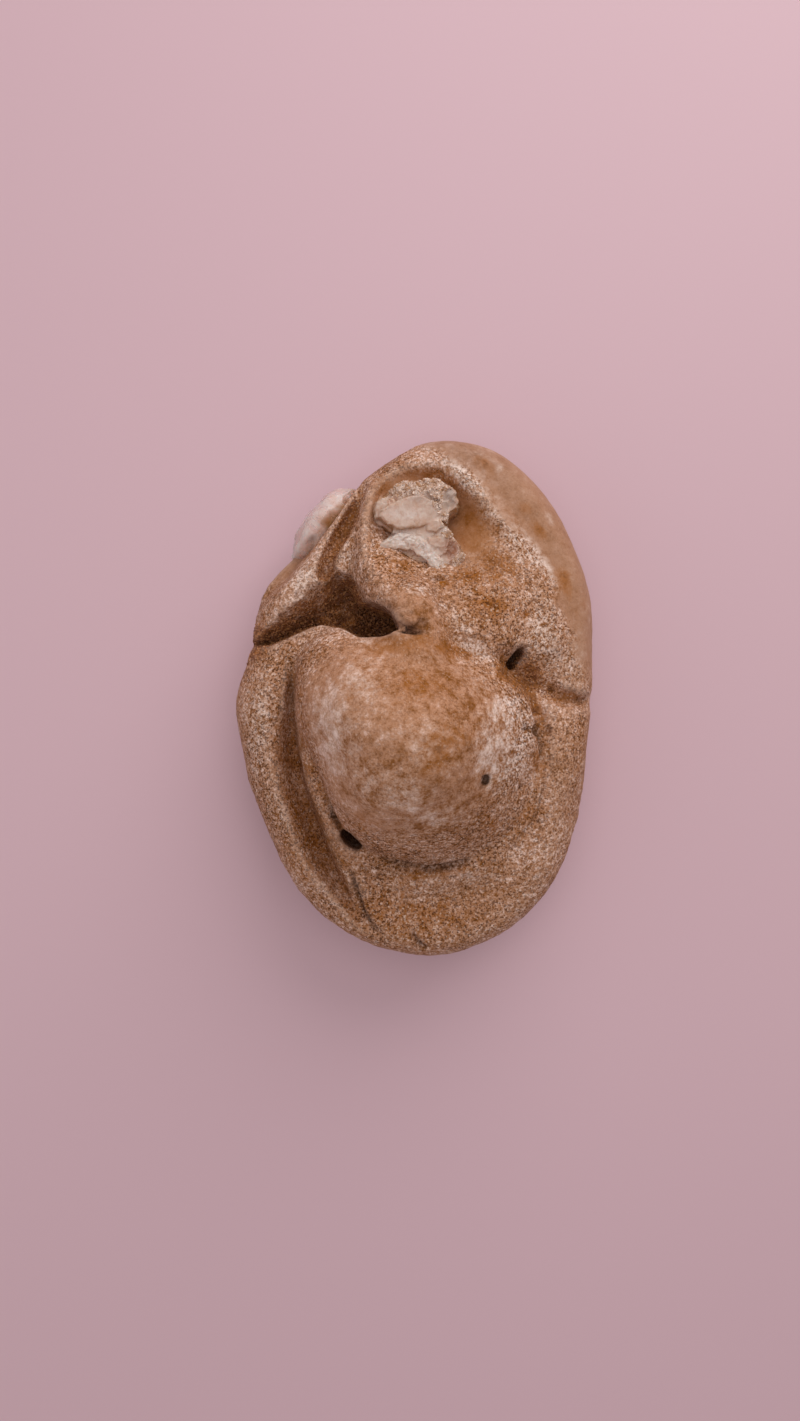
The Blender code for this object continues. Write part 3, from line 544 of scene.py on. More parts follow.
# The brown cleft, and where its floor is honey brown
CLEFT_PATCHES = [(-13.6, 6.8, 8.0, 2.0, 14, 1.8), (-6.0, 8.6, 4.8, 5.0, 0, 2.0)]
CLEFT_HONEYED = [(-7.9, 9.7, 1.6, 1.6, 0, 0.7), (-11.6, 9.4, 2.4, 0.7, 24, 0.5)]
# Where the rock is freshly broken
BROKEN_PATCHES = [
    (12.0, 2.6, 2.4, 1.6, -40, 1.2), (-11.8, 9.0, 3.4, 1.2, 30, 0.8), (13.6, 0.8, 0.9, 0.7, 0, 1.0),
]
# The worn skin's lumps of three sizes, and the cleft's ragged walls, each (height, spread, shift)
BROAD_LUMPS = (0.10, 2.6)
SMALL_LUMPS = (0.07, 1.1, 7.3)
GRIT = (0.05, 0.55, 3.1)
RAGGEDNESS = (0.20, 0.8, 11.0)
UPPER_FACE = (10.5, 12.5)  # heights between which the flanks turn into the upper face
CREST_ROUNDS = 10  # how far round a point is looked for small crests and for the creases that get painted shade
HOLLOW_ROUNDS = 75  # and for broad hollows


def patches(shapes, x, y):
    """The strongest of the patches at each point."""
    total = np.zeros(x.shape)
    for *oval, strength in shapes:
        total = np.maximum(total, strength * in_oval(x, y, *oval))
    return total


def along(line, x, y, reach):
    """1 on a line where it is deep, fading to 0 at that many of its half widths from it."""
    distance, depth, half_width = nearest_on_line(line, x, y)
    return (1 - ease(np.abs(distance) / half_width, 0.45 * reach, reach)) * ease(depth, 0.2, 1.2)


def on_top(mesh):
    """1 where the rock faces up above the widest line, and 0 on its flanks and below."""
    return ease(normals_of(mesh)[:, 2], 0.0, 0.35) * ease(places_of(mesh)[:, 2], *UPPER_FACE)


def crack_depth(mesh):
    x, y, _ = places_of(mesh).T
    return np.maximum.reduce([groove_fall(crack, x, y) for crack in CRACKS]) * on_top(mesh)


def stone_masks(mesh, cracked):
    """Where the rock is stained, bleached, waxy, earthy or broken, and where shade and highlight are painted
    on it, read from its places and its shape.
    """
    places = places_of(mesh)
    facing_up = normals_of(mesh)[:, 2]
    x, y, z = places.T
    upper = ease(z, *UPPER_FACE)
    flange_wander = sum(lumps(places, *size) for size in FLANGE_WANDER)
    flange = ease(nearest_on_line(FLANGE_EDGE, x, y)[0] + flange_wander, -0.9, 1.3) * ease(y, -1.0, 6.0)
    hollow = patches(HOLLOW_PATCHES, x, y)
    wax = np.maximum.reduce([flange, 0.9 * hollow, patches(WAX_PATCHES, x, y)]) * ease(z, 3.0, 8.0)
    # The cleft is brown low down, except where its walls overhang
    cleft = np.clip(patches(CLEFT_PATCHES, x, y), 0, 1) * (1 - ease(z, 12.2, 15.2))
    cleft *= ease(z, 7.0, 8.4) * ease(facing_up, -0.6, 0.0)
    cleft *= 1 - patches(CLEFT_HONEYED, x, y)
    # Iron has soaked into the listed patches and along the grooves, most of all low in the lip's groove
    groove_foot = 0.5 * along(LIP_GROOVE, x, y, 1.6) * (1 - ease(z, 14.4, 16.0))
    lines = [strength * along(line, x, y, reach) for line, strength, reach in IRON_LINES]
    iron = np.maximum.reduce([patches(IRON_PATCHES, x, y) * upper, groove_foot, cleft, *lines])
    pale = np.maximum(patches(PALE_PATCHES, x, y), 1.25 * along(PALE_CREST, x, y, 1.6)) * upper
    # Dark earth and painted shade in the listed patches, on faces that do not overhang
    dark = patches(EARTH_AND_SHADE_PATCHES, x, y) * ease(z, 6.0, 8.0) * ease(facing_up, -0.5, 0.1)
    broken = 0.5 * patches(BROKEN_PATCHES, x, y) * upper
    near = hollowness(mesh, CREST_ROUNDS)
    wide = hollowness(mesh, HOLLOW_ROUNDS)
    return {
        "iron": iron, "pale": pale, "wax": wax, "hollow": hollow, "cleft": cleft,
        "crown": ease(z, 18.5, 23.5),
        # Painted shade: the upper dome is darker, fading out towards its left side and where it is bleached
        "upper_dome_shade": ease(z, 17.0, 22.0) * ease(x, -7.0, 1.0) * (1 - np.clip(pale, 0, 1)),
        # Painted highlight on the small crests, which also stands for their bleached wear
        "crest": ease(-near, 0.01, 0.10),
        # Painted shade: rust-brown darkening in the creases and broad hollows
        "crevice_shade": np.maximum(ease(near, 0.02, 0.16), 0.8 * ease(wide, 0.15, 0.9)),
        # Painted shade also fills the cracks
        "dark": np.maximum(dark, ease(cracked, 0.05, 0.55)),
        "grainy": np.maximum.reduce([cleft, broken, 0.2 * along(RIDGE_GROOVE, x, y, 1.4)]),
    }


def sculpt(mesh, masks, cracked):
    """Wears the skin into lumps, cracks and holes. Waxy and worn places stay smoother."""
    places = places_of(mesh)
    x, y, z = places.T
    shift = (lumps(places, *BROAD_LUMPS) + lumps(places, *SMALL_LUMPS)) * (1 - 0.5 * masks["wax"])
    shift += lumps(places, *GRIT) * (1 - 0.9 * masks["wax"])
    shift += lumps(places, *RAGGEDNESS) * masks["cleft"]
    shift *= ease(z, 0.02, 0.8)  # the stone lies flat, so its foot stays as it is
    shift -= cracked
    top = on_top(mesh)
    for hole_x, hole_y, radius, depth in PINHOLES:
        distance = np.hypot(x - hole_x, y - hole_y)
        shift -= depth * (1 - ease(distance, 0.3 * radius, 1.6 * radius)) * top
    move_to(mesh, (places + normals_of(mesh) * shift[:, None]) * MM)


pebble = worn_pebble()
cutters = [opening_cutter(name, corners) for name, corners in OPENINGS.items()]
cutters += [pit_cutter(f"pit_{number}", pit) for number, pit in enumerate(PITS)]
stone_mesh = carved_skin(pebble, cutters)
remove([pebble, *cutters])
cracked = crack_depth(stone_mesh)
stone_marks = stone_masks(stone_mesh, cracked)
sculpt(stone_mesh, stone_marks, cracked)
mark(stone_mesh, stone_marks)
stone_mesh.name = "weathered_stone"
stone_mesh.shade_smooth()
stone = new_object("weathered_stone", stone_mesh)


def srgb(red, green, blue):
    """A colour as a screen shows it, turned into the light it stands for."""
    shares = (value / 255 for value in (red, green, blue))
    return (*(s / 12.92 if s <= 0.04045 else ((s + 0.055) / 1.055) ** 2.4 for s in shares), 1.0)


class Nodes:
    """Adds nodes to a tree. Any value handed in is either a number or another node's socket."""

    def __init__(self, tree):
        self.tree = tree

    def fill(self, node, inputs):
        """Links each input that is another node's socket, and sets each that is a plain value."""
        for name, value in inputs.items():
            if isinstance(value, bpy.types.NodeSocket):
                self.tree.links.new(value, node.inputs[name])
            else:
                node.inputs[name].default_value = value

    def put(self, kind, inputs=None, **settings):
        made = self.tree.nodes.new(kind)
        for name, value in settings.items():
            setattr(made, name, value)
        self.fill(made, inputs or {})
        return made

    def maths(self, operation, a, b=0.0):
        return self.put("ShaderNodeMath", {0: a, 1: b}, operation=operation).outputs[0]

    def times(self, a, b):
        return self.maths("MULTIPLY", a, b)

    def plus(self, a, b):
        return self.maths("ADD", a, b)

    def minus(self, a, b):
        return self.maths("SUBTRACT", a, b)

    def between(self, value, low, high, out_low=0.0, out_high=1.0):
        """The value eased from out_low to out_high as it goes from low to high."""
        inputs = {"Value": value, "From Min": low, "From Max": high, "To Min": out_low, "To Max": out_high}
        return self.put("ShaderNodeMapRange", inputs, interpolation_type="SMOOTHSTEP").outputs["Result"]

    def by(self, mask, at_none, at_full):
        """A value eased from at_none to at_full as the mask goes from 0 to 1."""
        return self.between(mask, 0.0, 1.0, at_none, at_full)

    def mask(self, name):
        return self.put("ShaderNodeAttribute", attribute_name=name).outputs["Fac"]

    def noise(self, place, scale, detail, roughness=0.5, distortion=0.0):
        inputs = {"Vector": place, "Scale": scale, "Detail": detail}
        inputs |= {"Roughness": roughness, "Distortion": distortion}
        return self.put("ShaderNodeTexNoise", inputs).outputs["Fac"]

    def wash(self, under, over, share, strength=None):
        """The colour under with the colour over laid on it by a share, times a strength if one is given."""
        if strength is not None:
            share = self.times(share, strength)
        return self.put("ShaderNodeMix", {0: share, 6: under, 7: over}, data_type="RGBA").outputs[2]

    def scattered(self, start, chance, amount):
        """The place or direction moved by up to half that amount each way, as a colour of chance says."""
        off = self.put("ShaderNodeVectorMath", {0: chance, 1: (0.5, 0.5, 0.5)}, operation="SUBTRACT")
        step = self.put("ShaderNodeVectorMath", {0: off.outputs[0], "Scale": amount}, operation="SCALE")
        return self.put("ShaderNodeVectorMath", {0: start, 1: step.outputs[0]}, operation="ADD").outputs[0]

    def group(self, tree, inputs):
        return self.put("ShaderNodeGroup", inputs, node_tree=tree).outputs


def new_group(name, inputs, outputs, kind="ShaderNodeTree"):
    """A node group with its sockets: its nodes, what it is given, and the node that takes its results."""
    tree = bpy.data.node_groups.new(name, kind)
    for direction, sockets in (("INPUT", inputs), ("OUTPUT", outputs)):
        for socket, socket_kind in sockets.items():
            tree.interface.new_socket(socket, in_out=direction, socket_type=f"NodeSocket{socket_kind}")
    return Nodes(tree), tree.nodes.new("NodeGroupInput").outputs, tree.nodes.new("NodeGroupOutput")


def new_material(name):
    """A material, its nodes, its shader, and the place on the object that its patterns are read at."""
    made = bpy.data.materials.new(name)
    made.use_nodes = True
    nodes = Nodes(made.node_tree)
    place = nodes.put("ShaderNodeTexCoord").outputs["Object"]
    return made, nodes, made.node_tree.nodes["Principled BSDF"], place


GRAIN_WANDER = 1.6  # how far the grains' edges wander, in grains


def sand_grain_group():
    """Fine sand: soft mottling, dark pores of uneven size, and scattered pale grains."""
    nodes, given, result = new_group(
        "sand_grain", {"Place": "Vector", "Grains per Metre": "Float"},
        {"Tone": "Float", "Pores": "Float", "Glints": "Float", "Relief": "Float"},
    )
    place, scale = given["Place"], given["Grains per Metre"]
    soft = nodes.put("ShaderNodeTexNoise", {"Vector": place, "Scale": scale, "Detail": 3.0, "Roughness": 0.6})
    uneven = nodes.scattered(place, soft.outputs["Color"], nodes.maths("DIVIDE", GRAIN_WANDER, scale))
    cells = nodes.put("ShaderNodeTexVoronoi", {"Vector": uneven, "Scale": scale})
    # Each cell's chance colour says how large a pore it holds, how large a pale grain, and how light it is
    pore_chance, glint_chance, lightness = nodes.put(
        "ShaderNodeSeparateColor", {0: cells.outputs["Color"]}
    ).outputs
    pore_size = nodes.between(pore_chance, 0.15, 1.0, 0.0, 0.62)
    pores = nodes.between(nodes.minus(pore_size, cells.outputs["Distance"]), -0.16, 0.14)
    glint_size = nodes.between(glint_chance, 0.55, 1.0, 0.0, 0.5)
    glints = nodes.between(nodes.minus(glint_size, cells.outputs["Distance"]), -0.2, 0.15)
    tone = nodes.plus(nodes.times(lightness, 0.3), soft.outputs["Fac"])
    nodes.fill(result, {
        "Tone": nodes.between(tone, 0.3, 1.0),
        "Pores": pores,
        "Glints": nodes.times(glints, nodes.minus(1.0, pores)),
        "Relief": nodes.minus(nodes.times(soft.outputs["Fac"], 1.2), pores),
    })
    return nodes.tree


def iron_stain_group():
    """Honey to rusty brown stain soaked unevenly into a surface."""
    nodes, given, result = new_group(
        "iron_stain",
        {"Place": "Vector", "Colour": "Color", "Stain": "Float", "Honey": "Color", "Rust": "Color"},
        {"Colour": "Color", "Soaked": "Float"},
    )
    broad = nodes.noise(given["Place"], 360.0, 5.0, 0.62, 0.6)
    fine = nodes.noise(given["Place"], 1700.0, 3.0, 0.6)
    stain = nodes.plus(nodes.times(nodes.minus(broad, 0.5), 2.0), given["Stain"])
    soaked = nodes.between(stain, 0.10, 0.95)
    honeyed = nodes.wash(given["Colour"], given["Honey"], soaked)
    deep = nodes.between(stain, 0.5, 1.4)
    rusty = nodes.wash(honeyed, given["Rust"], deep, nodes.between(fine, 0.35, 0.62))
    nodes.fill(result, {"Colour": rusty, "Soaked": soaked})
    return nodes.tree


SAND_GRAIN = sand_grain_group()
IRON_STAIN = iron_stain_group()
SAND = srgb(183, 135, 104)
SAND_DEEP = srgb(142, 94, 58)
SAND_LIGHT = srgb(221, 187, 169)
LIGHT_GRAIN = srgb(232, 208, 190)
PORE = srgb(78, 42, 18)
HONEY = srgb(160, 102, 54)
RUST = srgb(106, 64, 34)
BLEACHED = srgb(230, 208, 194)
WAXY = srgb(160, 120, 94)
WAXY_HONEY = srgb(186, 132, 88)
CLEFT_BROWN = srgb(66, 36, 18)
CLEFT_GRAIN = srgb(190, 122, 62)
EARTH_AND_SHADE_BROWN = srgb(58, 32, 16)
# How many patterns of each size fit in a metre of rock
GRAINS_PER_METRE = 5200.0
CLUMPS_PER_METRE = 2300.0
MOTTLES_PER_METRE = 900.0
ZONES_PER_METRE = 420.0
BLOTCHES_PER_METRE = 170.0


def shaded(nodes, colour, tone, depth):
    """The colour darker and warmer, or lighter and greyer, as a tone says, up to half that depth each way."""
    inputs = {"Color": colour}
    for name, change in (("Value", depth / 2), ("Saturation", -depth / 3)):
        spread = {"Value": tone, "To Min": 1 - change, "To Max": 1 + change}
        inputs[name] = nodes.put("ShaderNodeMapRange", spread).outputs["Result"]
    return nodes.put("ShaderNodeHueSaturation", inputs).outputs[0]


def sandstone():
    made, nodes, shader, place = new_material("sandstone")
    iron, pale, wax, hollow, crown = map(nodes.mask, ("iron", "pale", "wax", "hollow", "crown"))
    cleft, crest, crevice_shade, dark, upper_dome_shade = map(nodes.mask, ("cleft", "crest", "crevice_shade", "dark", "upper_dome_shade"))
    grain = nodes.group(SAND_GRAIN, {"Place": place, "Grains per Metre": GRAINS_PER_METRE})
    blotches = nodes.noise(place, BLOTCHES_PER_METRE, 6.0, 0.6)
    mottle = nodes.noise(place, MOTTLES_PER_METRE, 3.0, 0.6)
    clumps = nodes.noise(place, CLUMPS_PER_METRE, 2.0, 0.6)
    # Grain is sharp and strong in most places, soft on the dome's crown, and faint where the rock is waxy
    gritty = nodes.times(nodes.by(wax, 1.0, 0.15), nodes.by(crown, 1.0, 0.35))
    tone = 0.5
    for pattern, share in (
        (blotches, 0.8), (mottle, nodes.by(crown, 0.7, 1.15)), (clumps, nodes.by(gritty, 0.2, 1.3)),
        (grain["Tone"], nodes.times(gritty, 0.6)),
    ):
        tone = nodes.plus(tone, nodes.times(nodes.minus(pattern, 0.5), share))
    # Painted shade darkens the tone on the upper dome
    tone = nodes.minus(tone, nodes.times(upper_dome_shade, 0.14))
    colour = nodes.wash(SAND_DEEP, SAND, nodes.between(tone, 0.0, 0.5))
    colour = nodes.wash(colour, SAND_LIGHT, nodes.between(tone, 0.5, 1.0))
    colour = nodes.wash(colour, nodes.wash(WAXY, WAXY_HONEY, hollow), wax, 0.5)
    colour = nodes.wash(colour, BLEACHED, nodes.times(pale, nodes.between(tone, 0.25, 0.75)), 0.8)
    stain = {"Place": place, "Colour": colour, "Stain": iron, "Honey": HONEY, "Rust": RUST}
    colour = shaded(nodes, nodes.group(IRON_STAIN, stain)["Colour"], tone, 0.4)
    colour = nodes.wash(colour, LIGHT_GRAIN, nodes.times(grain["Glints"], gritty), 0.5)
    porous = nodes.between(blotches, 0.62, 0.38, 0.55, 1.0)
    pores = nodes.times(nodes.times(grain["Pores"], gritty), porous)
    colour = nodes.wash(colour, PORE, pores, 0.85)
    # Painted shade: rust brown laid into the creases and broad hollows
    colour = nodes.wash(colour, RUST, crevice_shade, 0.4)
    # The cleft's floor has zones of honey grains among the brown
    zones = nodes.times(nodes.minus(nodes.noise(place, ZONES_PER_METRE, 3.0), 0.5), 3.6)
    cleft_colour = nodes.wash(CLEFT_BROWN, CLEFT_GRAIN, nodes.between(nodes.plus(zones, tone), 0.3, 0.9))
    colour = nodes.wash(colour, cleft_colour, cleft, 0.85)
    # Dark earth and painted shade, broken up by the clumps
    earth_and_shade = nodes.times(dark, nodes.between(clumps, 0.3, 0.6, 1.0, 0.5))
    colour = nodes.wash(colour, EARTH_AND_SHADE_BROWN, earth_and_shade, 0.9)
    relief = nodes.times(grain["Relief"], gritty)
    bump = nodes.put("ShaderNodeBump", {"Height": relief, "Distance": 0.00008, "Strength": 0.6})
    nodes.fill(shader, {
        # Painted highlight: small crests are lighter, which also stands for their bleached wear
        "Base Color": nodes.wash(colour, BLEACHED, crest, 0.14),
        "Roughness": nodes.by(wax, 0.88, 0.5),
        "Normal": bump.outputs["Normal"],
        "Specular IOR Level": 0.15,
    })
    return made


stone.data.materials.append(sandstone())
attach(stone, "root")
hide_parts("fossil_stone")


# ---- The loose sand grains ------------------------------------------------------------------------------
# Where the rock is freshly broken, in the cleft and beside the side hole, its grains stand out one by one:
# honey and clear quartz sand of about a quarter of a millimetre.

GRAINS_PER_SQUARE_METRE = 3.4e7
GRAIN_SIZE = 0.0002
GRAIN_HONEY = srgb(124, 72, 36)
GRAIN_PALE = srgb(190, 132, 84)
GRAIN_KINDS_PER_METRE = 2600.0


def scatter_tree(name, mask, least, most):
    """Scatters grains or crystals over a surface where its mask says, turned at random, sized in a range."""
    nodes, given, result = new_group(
        name,
        {"Surface": "Geometry", "Pieces per Square Metre": "Float", "Width": "Float", "Length": "Float",
         "Roundness": "Float", "Seed": "Int", "Finish": "Material"},
        {"Pieces": "Geometry"}, "GeometryNodeTree",
    )
    width, seed = given["Width"], given["Seed"]
    share = nodes.put("GeometryNodeInputNamedAttribute", {"Name": mask}, data_type="FLOAT").outputs[0]
    density = nodes.times(share, given["Pieces per Square Metre"])
    spots = nodes.put(
        "GeometryNodeDistributePointsOnFaces", {"Mesh": given["Surface"], "Density": density, "Seed": seed}
    )
    sides = nodes.put("ShaderNodeCombineXYZ", {"X": width, "Y": width, "Z": given["Length"]})
    block = nodes.put("GeometryNodeMeshCube", {"Size": sides.outputs[0]})
    rounded = nodes.put("GeometryNodeMeshIcoSphere", {"Radius": nodes.times(width, 0.6)})
    shape = nodes.put(
        "GeometryNodeSwitch",
        {"Switch": nodes.maths("GREATER_THAN", given["Roundness"], 0.5),
         "False": block.outputs["Mesh"], "True": rounded.outputs["Mesh"]},
        input_type="GEOMETRY",
    )
    any_way = {"Min": (-math.pi,) * 3, "Max": (math.pi,) * 3, "Seed": seed}
    turn = nodes.put("FunctionNodeRandomValue", any_way, data_type="FLOAT_VECTOR")
    rotation = nodes.put("FunctionNodeEulerToRotation", {"Euler": turn.outputs[0]})
    size = nodes.put("FunctionNodeRandomValue", {2: least, 3: most, "Seed": seed}, data_type="FLOAT")
    placed = nodes.put(
        "GeometryNodeInstanceOnPoints",
        {"Points": spots.outputs["Points"], "Instance": shape.outputs["Output"],
         "Rotation": rotation.outputs[0], "Scale": size.outputs[1]},
    )
    solid = nodes.put("GeometryNodeRealizeInstances", {"Geometry": placed.outputs["Instances"]})
    finished = {"Geometry": solid.outputs["Geometry"], "Material": given["Finish"]}
    finish = nodes.put("GeometryNodeSetMaterial", finished)
    nodes.fill(result, {"Pieces": finish.outputs["Geometry"]})
    return nodes.tree


def grown_on(surface, name, tree, inputs):
    """What the tree grows on the surface, as a plain object of its own."""
    bearer = new_object(name, surface.data.copy())
    growth = bearer.modifiers.new(name, "NODES")
    growth.node_group = tree
    for socket in tree.interface.items_tree:
        if socket.name in inputs:
            growth[socket.identifier] = inputs[socket.name]
    mesh = finished_mesh(bearer)
    remove([bearer])
    return new_object(name, mesh)


def sand_grains():
    made, nodes, shader, place = new_material("sand_grains")
    pale = nodes.between(nodes.noise(place, GRAIN_KINDS_PER_METRE, 1.0), 0.45, 0.66)
    nodes.fill(shader, {"Base Color": nodes.wash(GRAIN_HONEY, GRAIN_PALE, pale), "Roughness": 0.35})
    return made


grains = grown_on(
    stone, "sand_grains", scatter_tree("sand_grain_scatter", "grainy", 0.5, 1.2),
    {"Pieces per Square Metre": GRAINS_PER_SQUARE_METRE, "Width": GRAIN_SIZE, "Length": GRAIN_SIZE,
     "Roundness": 1.0, "Seed": 4, "Finish": sand_grains()},
)
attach(grains, "root")


# ---- The crystals in the hollow -------------------------------------------------------------------------
# Milky calcite that grew on the walls of the empty shell: broad broken tiles, a bright banded edge, a grey
# blade and sparkling sugary rims, all grown together on one bed.

CRYSTAL_FOOT = 11.6
CRYSTAL_FLARE = 0.35  # how much wider than its top a crystal's foot is, each way
CRYSTAL_CHAMFER = 0.10
CRYSTAL_SKIN = 0.085  # size of the faces of the crust's skin
CRYSTAL_WEAR = 2  # rounds of wear on the crust's edges
# Each crystal is its outline, the height of its top at the outline's middle, and its rise along X and Y
CRUST = {
    "upper_bed": (
        [(-4.5, 18.6), (-4.3, 20.4), (-2.8, 21.9), (-1.8, 22.8), (0.3, 22.9), (2.2, 22.9), (3.6, 21.6),
         (3.3, 19.4), (2.8, 17.8), (-2.4, 17.4)], 15.1, 0.0, 0.0,
    ),
    "lower_bed": (
        [(-3.7, 15.3), (-3.4, 16.2), (-2.6, 17.5), (2.8, 17.8), (4.4, 15.6), (3.9, 13.7), (2.6, 12.9),
         (0.4, 14.0), (-3.0, 14.5)], 15.0, 0.03, 0.12,
    ),
    "tile": (
        [(-4.0, 18.9), (-3.7, 19.6), (-3.0, 20.1), (-2.0, 20.6), (-0.8, 21.0), (0.4, 21.1), (1.3, 20.8),
         (2.0, 20.0), (2.5, 19.5), (2.6, 18.8), (2.2, 18.0), (1.3, 18.2), (0.3, 17.9), (-1.2, 17.7),
         (-2.2, 17.6), (-3.0, 18.1)], 16.6, -0.08, 0.06,
    ),
    "left": (
        [(-4.5, 18.7), (-4.5, 19.8), (-4.3, 20.5), (-3.9, 20.9), (-2.9, 20.9), (-2.3, 20.5),
         (-3.3, 19.6)], 16.2, 0.10, 0.1,
    ),
    "apron": (
        [(-2.7, 17.9), (-1.2, 18.1), (0.4, 18.2), (1.8, 18.5), (2.8, 18.0), (3.6, 17.1), (2.9, 16.3),
         (1.7, 15.9), (0.6, 16.5), (-0.9, 16.8), (-2.3, 16.8)], 16.0, 0.02, 0.16,
    ),
    "fold": (
        [(0.8, 18.2), (1.5, 18.6), (2.4, 18.5), (2.8, 17.9), (1.8, 17.3), (1.0, 17.4)], 16.4, 0.1, 0.15,
    ),
    "dark": (
        [(-2.7, 21.2), (-2.5, 22.0), (-1.8, 22.7), (-0.8, 22.7), (-0.5, 22.0), (-0.8, 21.0),
         (-2.1, 20.5)], 15.6, 0.15, -0.1,
    ),
    "sugar": (
        [(-0.6, 21.9), (0.3, 22.6), (0.9, 23.0), (2.0, 23.0), (3.1, 22.2), (2.5, 21.3), (1.9, 20.6),
         (-0.5, 20.9)], 16.0, 0.0, -0.2,
    ),
    "cream": ([(1.0, 21.5), (1.3, 22.1), (2.3, 22.0), (2.5, 21.0), (1.8, 20.7)], 16.4, 0.1, -0.1),
    "blade": (
        [(2.4, 21.4), (3.1, 22.2), (3.8, 21.8), (4.0, 21.1), (4.3, 20.5), (4.0, 19.8), (3.3, 19.3),
         (3.0, 18.4), (2.3, 18.7), (2.3, 19.6), (2.4, 20.6)], 16.2, -0.25, 0.1,
    ),
    "band": (
        [(-3.9, 15.8), (-3.3, 16.5), (-2.6, 17.0), (-1.9, 17.2), (-0.8, 17.1), (0.3, 16.8), (1.1, 16.2),
         (1.8, 15.5), (2.4, 14.8), (2.9, 13.9), (3.1, 13.1), (2.6, 12.8), (1.9, 13.1), (1.4, 13.7),
         (0.8, 14.4), (0.0, 15.1), (-0.8, 15.5), (-1.8, 15.6), (-2.8, 15.5), (-3.7, 15.4)],
        16.0, -0.02, 0.10,
    ),
    "plug": ([(1.8, 19.8), (2.7, 19.8), (2.8, 21.2), (2.0, 21.4)], 15.9, 0.0, 0.0),
    "step": (
        [(1.0, 16.7), (1.9, 16.8), (2.8, 17.0), (3.4, 16.6), (3.0, 15.2), (2.2, 14.9), (1.5, 15.5)],
        16.1, 0.0, 0.15,
    ),
    "rose": (
        [(2.4, 16.6), (3.6, 17.0), (4.3, 16.3), (4.5, 15.8), (4.8, 15.0), (4.3, 14.3), (3.8, 13.6),
         (3.2, 13.2), (2.6, 14.3), (2.4, 15.4)], 15.6, -0.16, 0.14,
    ),
    "rose_edge": (
        [(3.6, 14.4), (4.3, 14.7), (4.9, 15.3), (4.8, 14.6), (4.3, 13.8), (3.8, 13.4), (3.3, 13.4)],
        15.8, 0.1, 0.1,
    ),
    "low": (
        [(-3.6, 15.6), (-0.8, 15.7), (0.3, 15.2), (0.8, 14.2), (-0.1, 14.1), (-0.8, 14.5), (-2.2, 14.4),
         (-3.4, 14.8)], 15.5, 0.0, 0.15,
    ),
}
# The middle of the bright banded edge, whose layers run along it, as (x, y)
BAND_LINE = [(-3.9, 15.8), (-2.8, 16.5), (-1.4, 16.6), (0.2, 16.0), (1.4, 14.8), (2.2, 13.8), (2.7, 12.9)]
BAND_LAYER = 0.30  # thickness of one layer
BAND_WANDER = (0.5, 1.6)  # how many layers they wander by, and how far it is from one wave to the next
BAND_RIDGE = 0.10  # how far the band's middle stands up
LAYER_RELIEF = 0.08  # how steeply each layer rises to its edges
# Facets that the crust is broken into, each (size, tilt, seed)
BROAD_FACETS = (2.0, 0.05, 5)
SMALL_FACETS = (0.7, 0.16, 6)
BAND_FACETS = (0.45, 0.22, 8)
SUGAR_FACETS = (0.40, 0.40, 7)
SIDE_FACETS = (0.5, 0.30, 9)
CRUST_LUMPS = (0.03, 0.35, 4.0)
CRUST_RELIEF = 0.25  # the most that facets and layers move the skin
FACET_CHOICE = 6  # how many facets a spot is held against
# Sparkling, honey, smooth, grey, pink and bright places, each (x, y, half length, half width, turn, strength)
SUGARY = [
    (1.0, 22.3, 2.4, 0.9, 0, 1.2), (-1.6, 22.0, 1.4, 1.0, 0, 1.2), (2.7, 13.3, 0.9, 0.7, -50, 1.0),
    (4.4, 14.6, 0.5, 1.1, -30, 1.2), (3.2, 17.1, 0.8, 0.5, -30, 0.9), (2.9, 18.9, 0.3, 0.7, 0, 0.4),
    (2.15, 20.5, 0.5, 1.0, 0, 1.3),
]
CRUST_HONEY = [
    (-0.4, 17.7, 2.2, 0.4, 0, 0.4), (1.4, 14.0, 0.9, 0.4, -50, 0.9), (-1.8, 14.9, 2.6, 0.6, 0, 1.3),
    (0.3, 14.3, 1.3, 0.6, -40, 1.3), (1.0, 22.9, 1.8, 0.6, 0, 0.7), (2.2, 21.0, 0.5, 0.9, 0, 0.7),
    (-2.4, 21.8, 0.8, 0.7, 0, 0.7), (2.2, 16.8, 0.5, 0.4, 0, 0.7), (-3.8, 19.9, 0.5, 0.2, 50, 0.5),
]
CRUST_SILKY = [(-0.7, 19.3, 3.6, 1.9, -6, 1.5)]
CRUST_GREY = [
    (3.4, 21.2, 1.0, 1.5, 10, 1.0), (-1.6, 22.2, 1.2, 0.7, 0, 0.9), (0.4, 20.9, 2.4, 0.7, 0, 0.6),
]
CRUST_ROSE = [
    (3.6, 15.6, 1.1, 1.7, 10, 1.2), (-3.5, 17.7, 0.9, 0.7, -20, 0.8), (-2.0, 15.2, 2.0, 0.6, 0, 0.5),
]
CRUST_BRIGHT = [
    (-1.6, 16.6, 2.9, 1.0, -4, 1.5), (1.0, 15.2, 2.0, 0.9, -50, 1.6), (2.7, 13.5, 1.0, 0.8, -30, 1.6),
    (2.9, 17.7, 0.9, 0.35, 20, 0.8), (-1.2, 19.2, 3.0, 0.9, 0, 0.6), (4.7, 14.7, 0.3, 0.9, -30, 0.9),
]


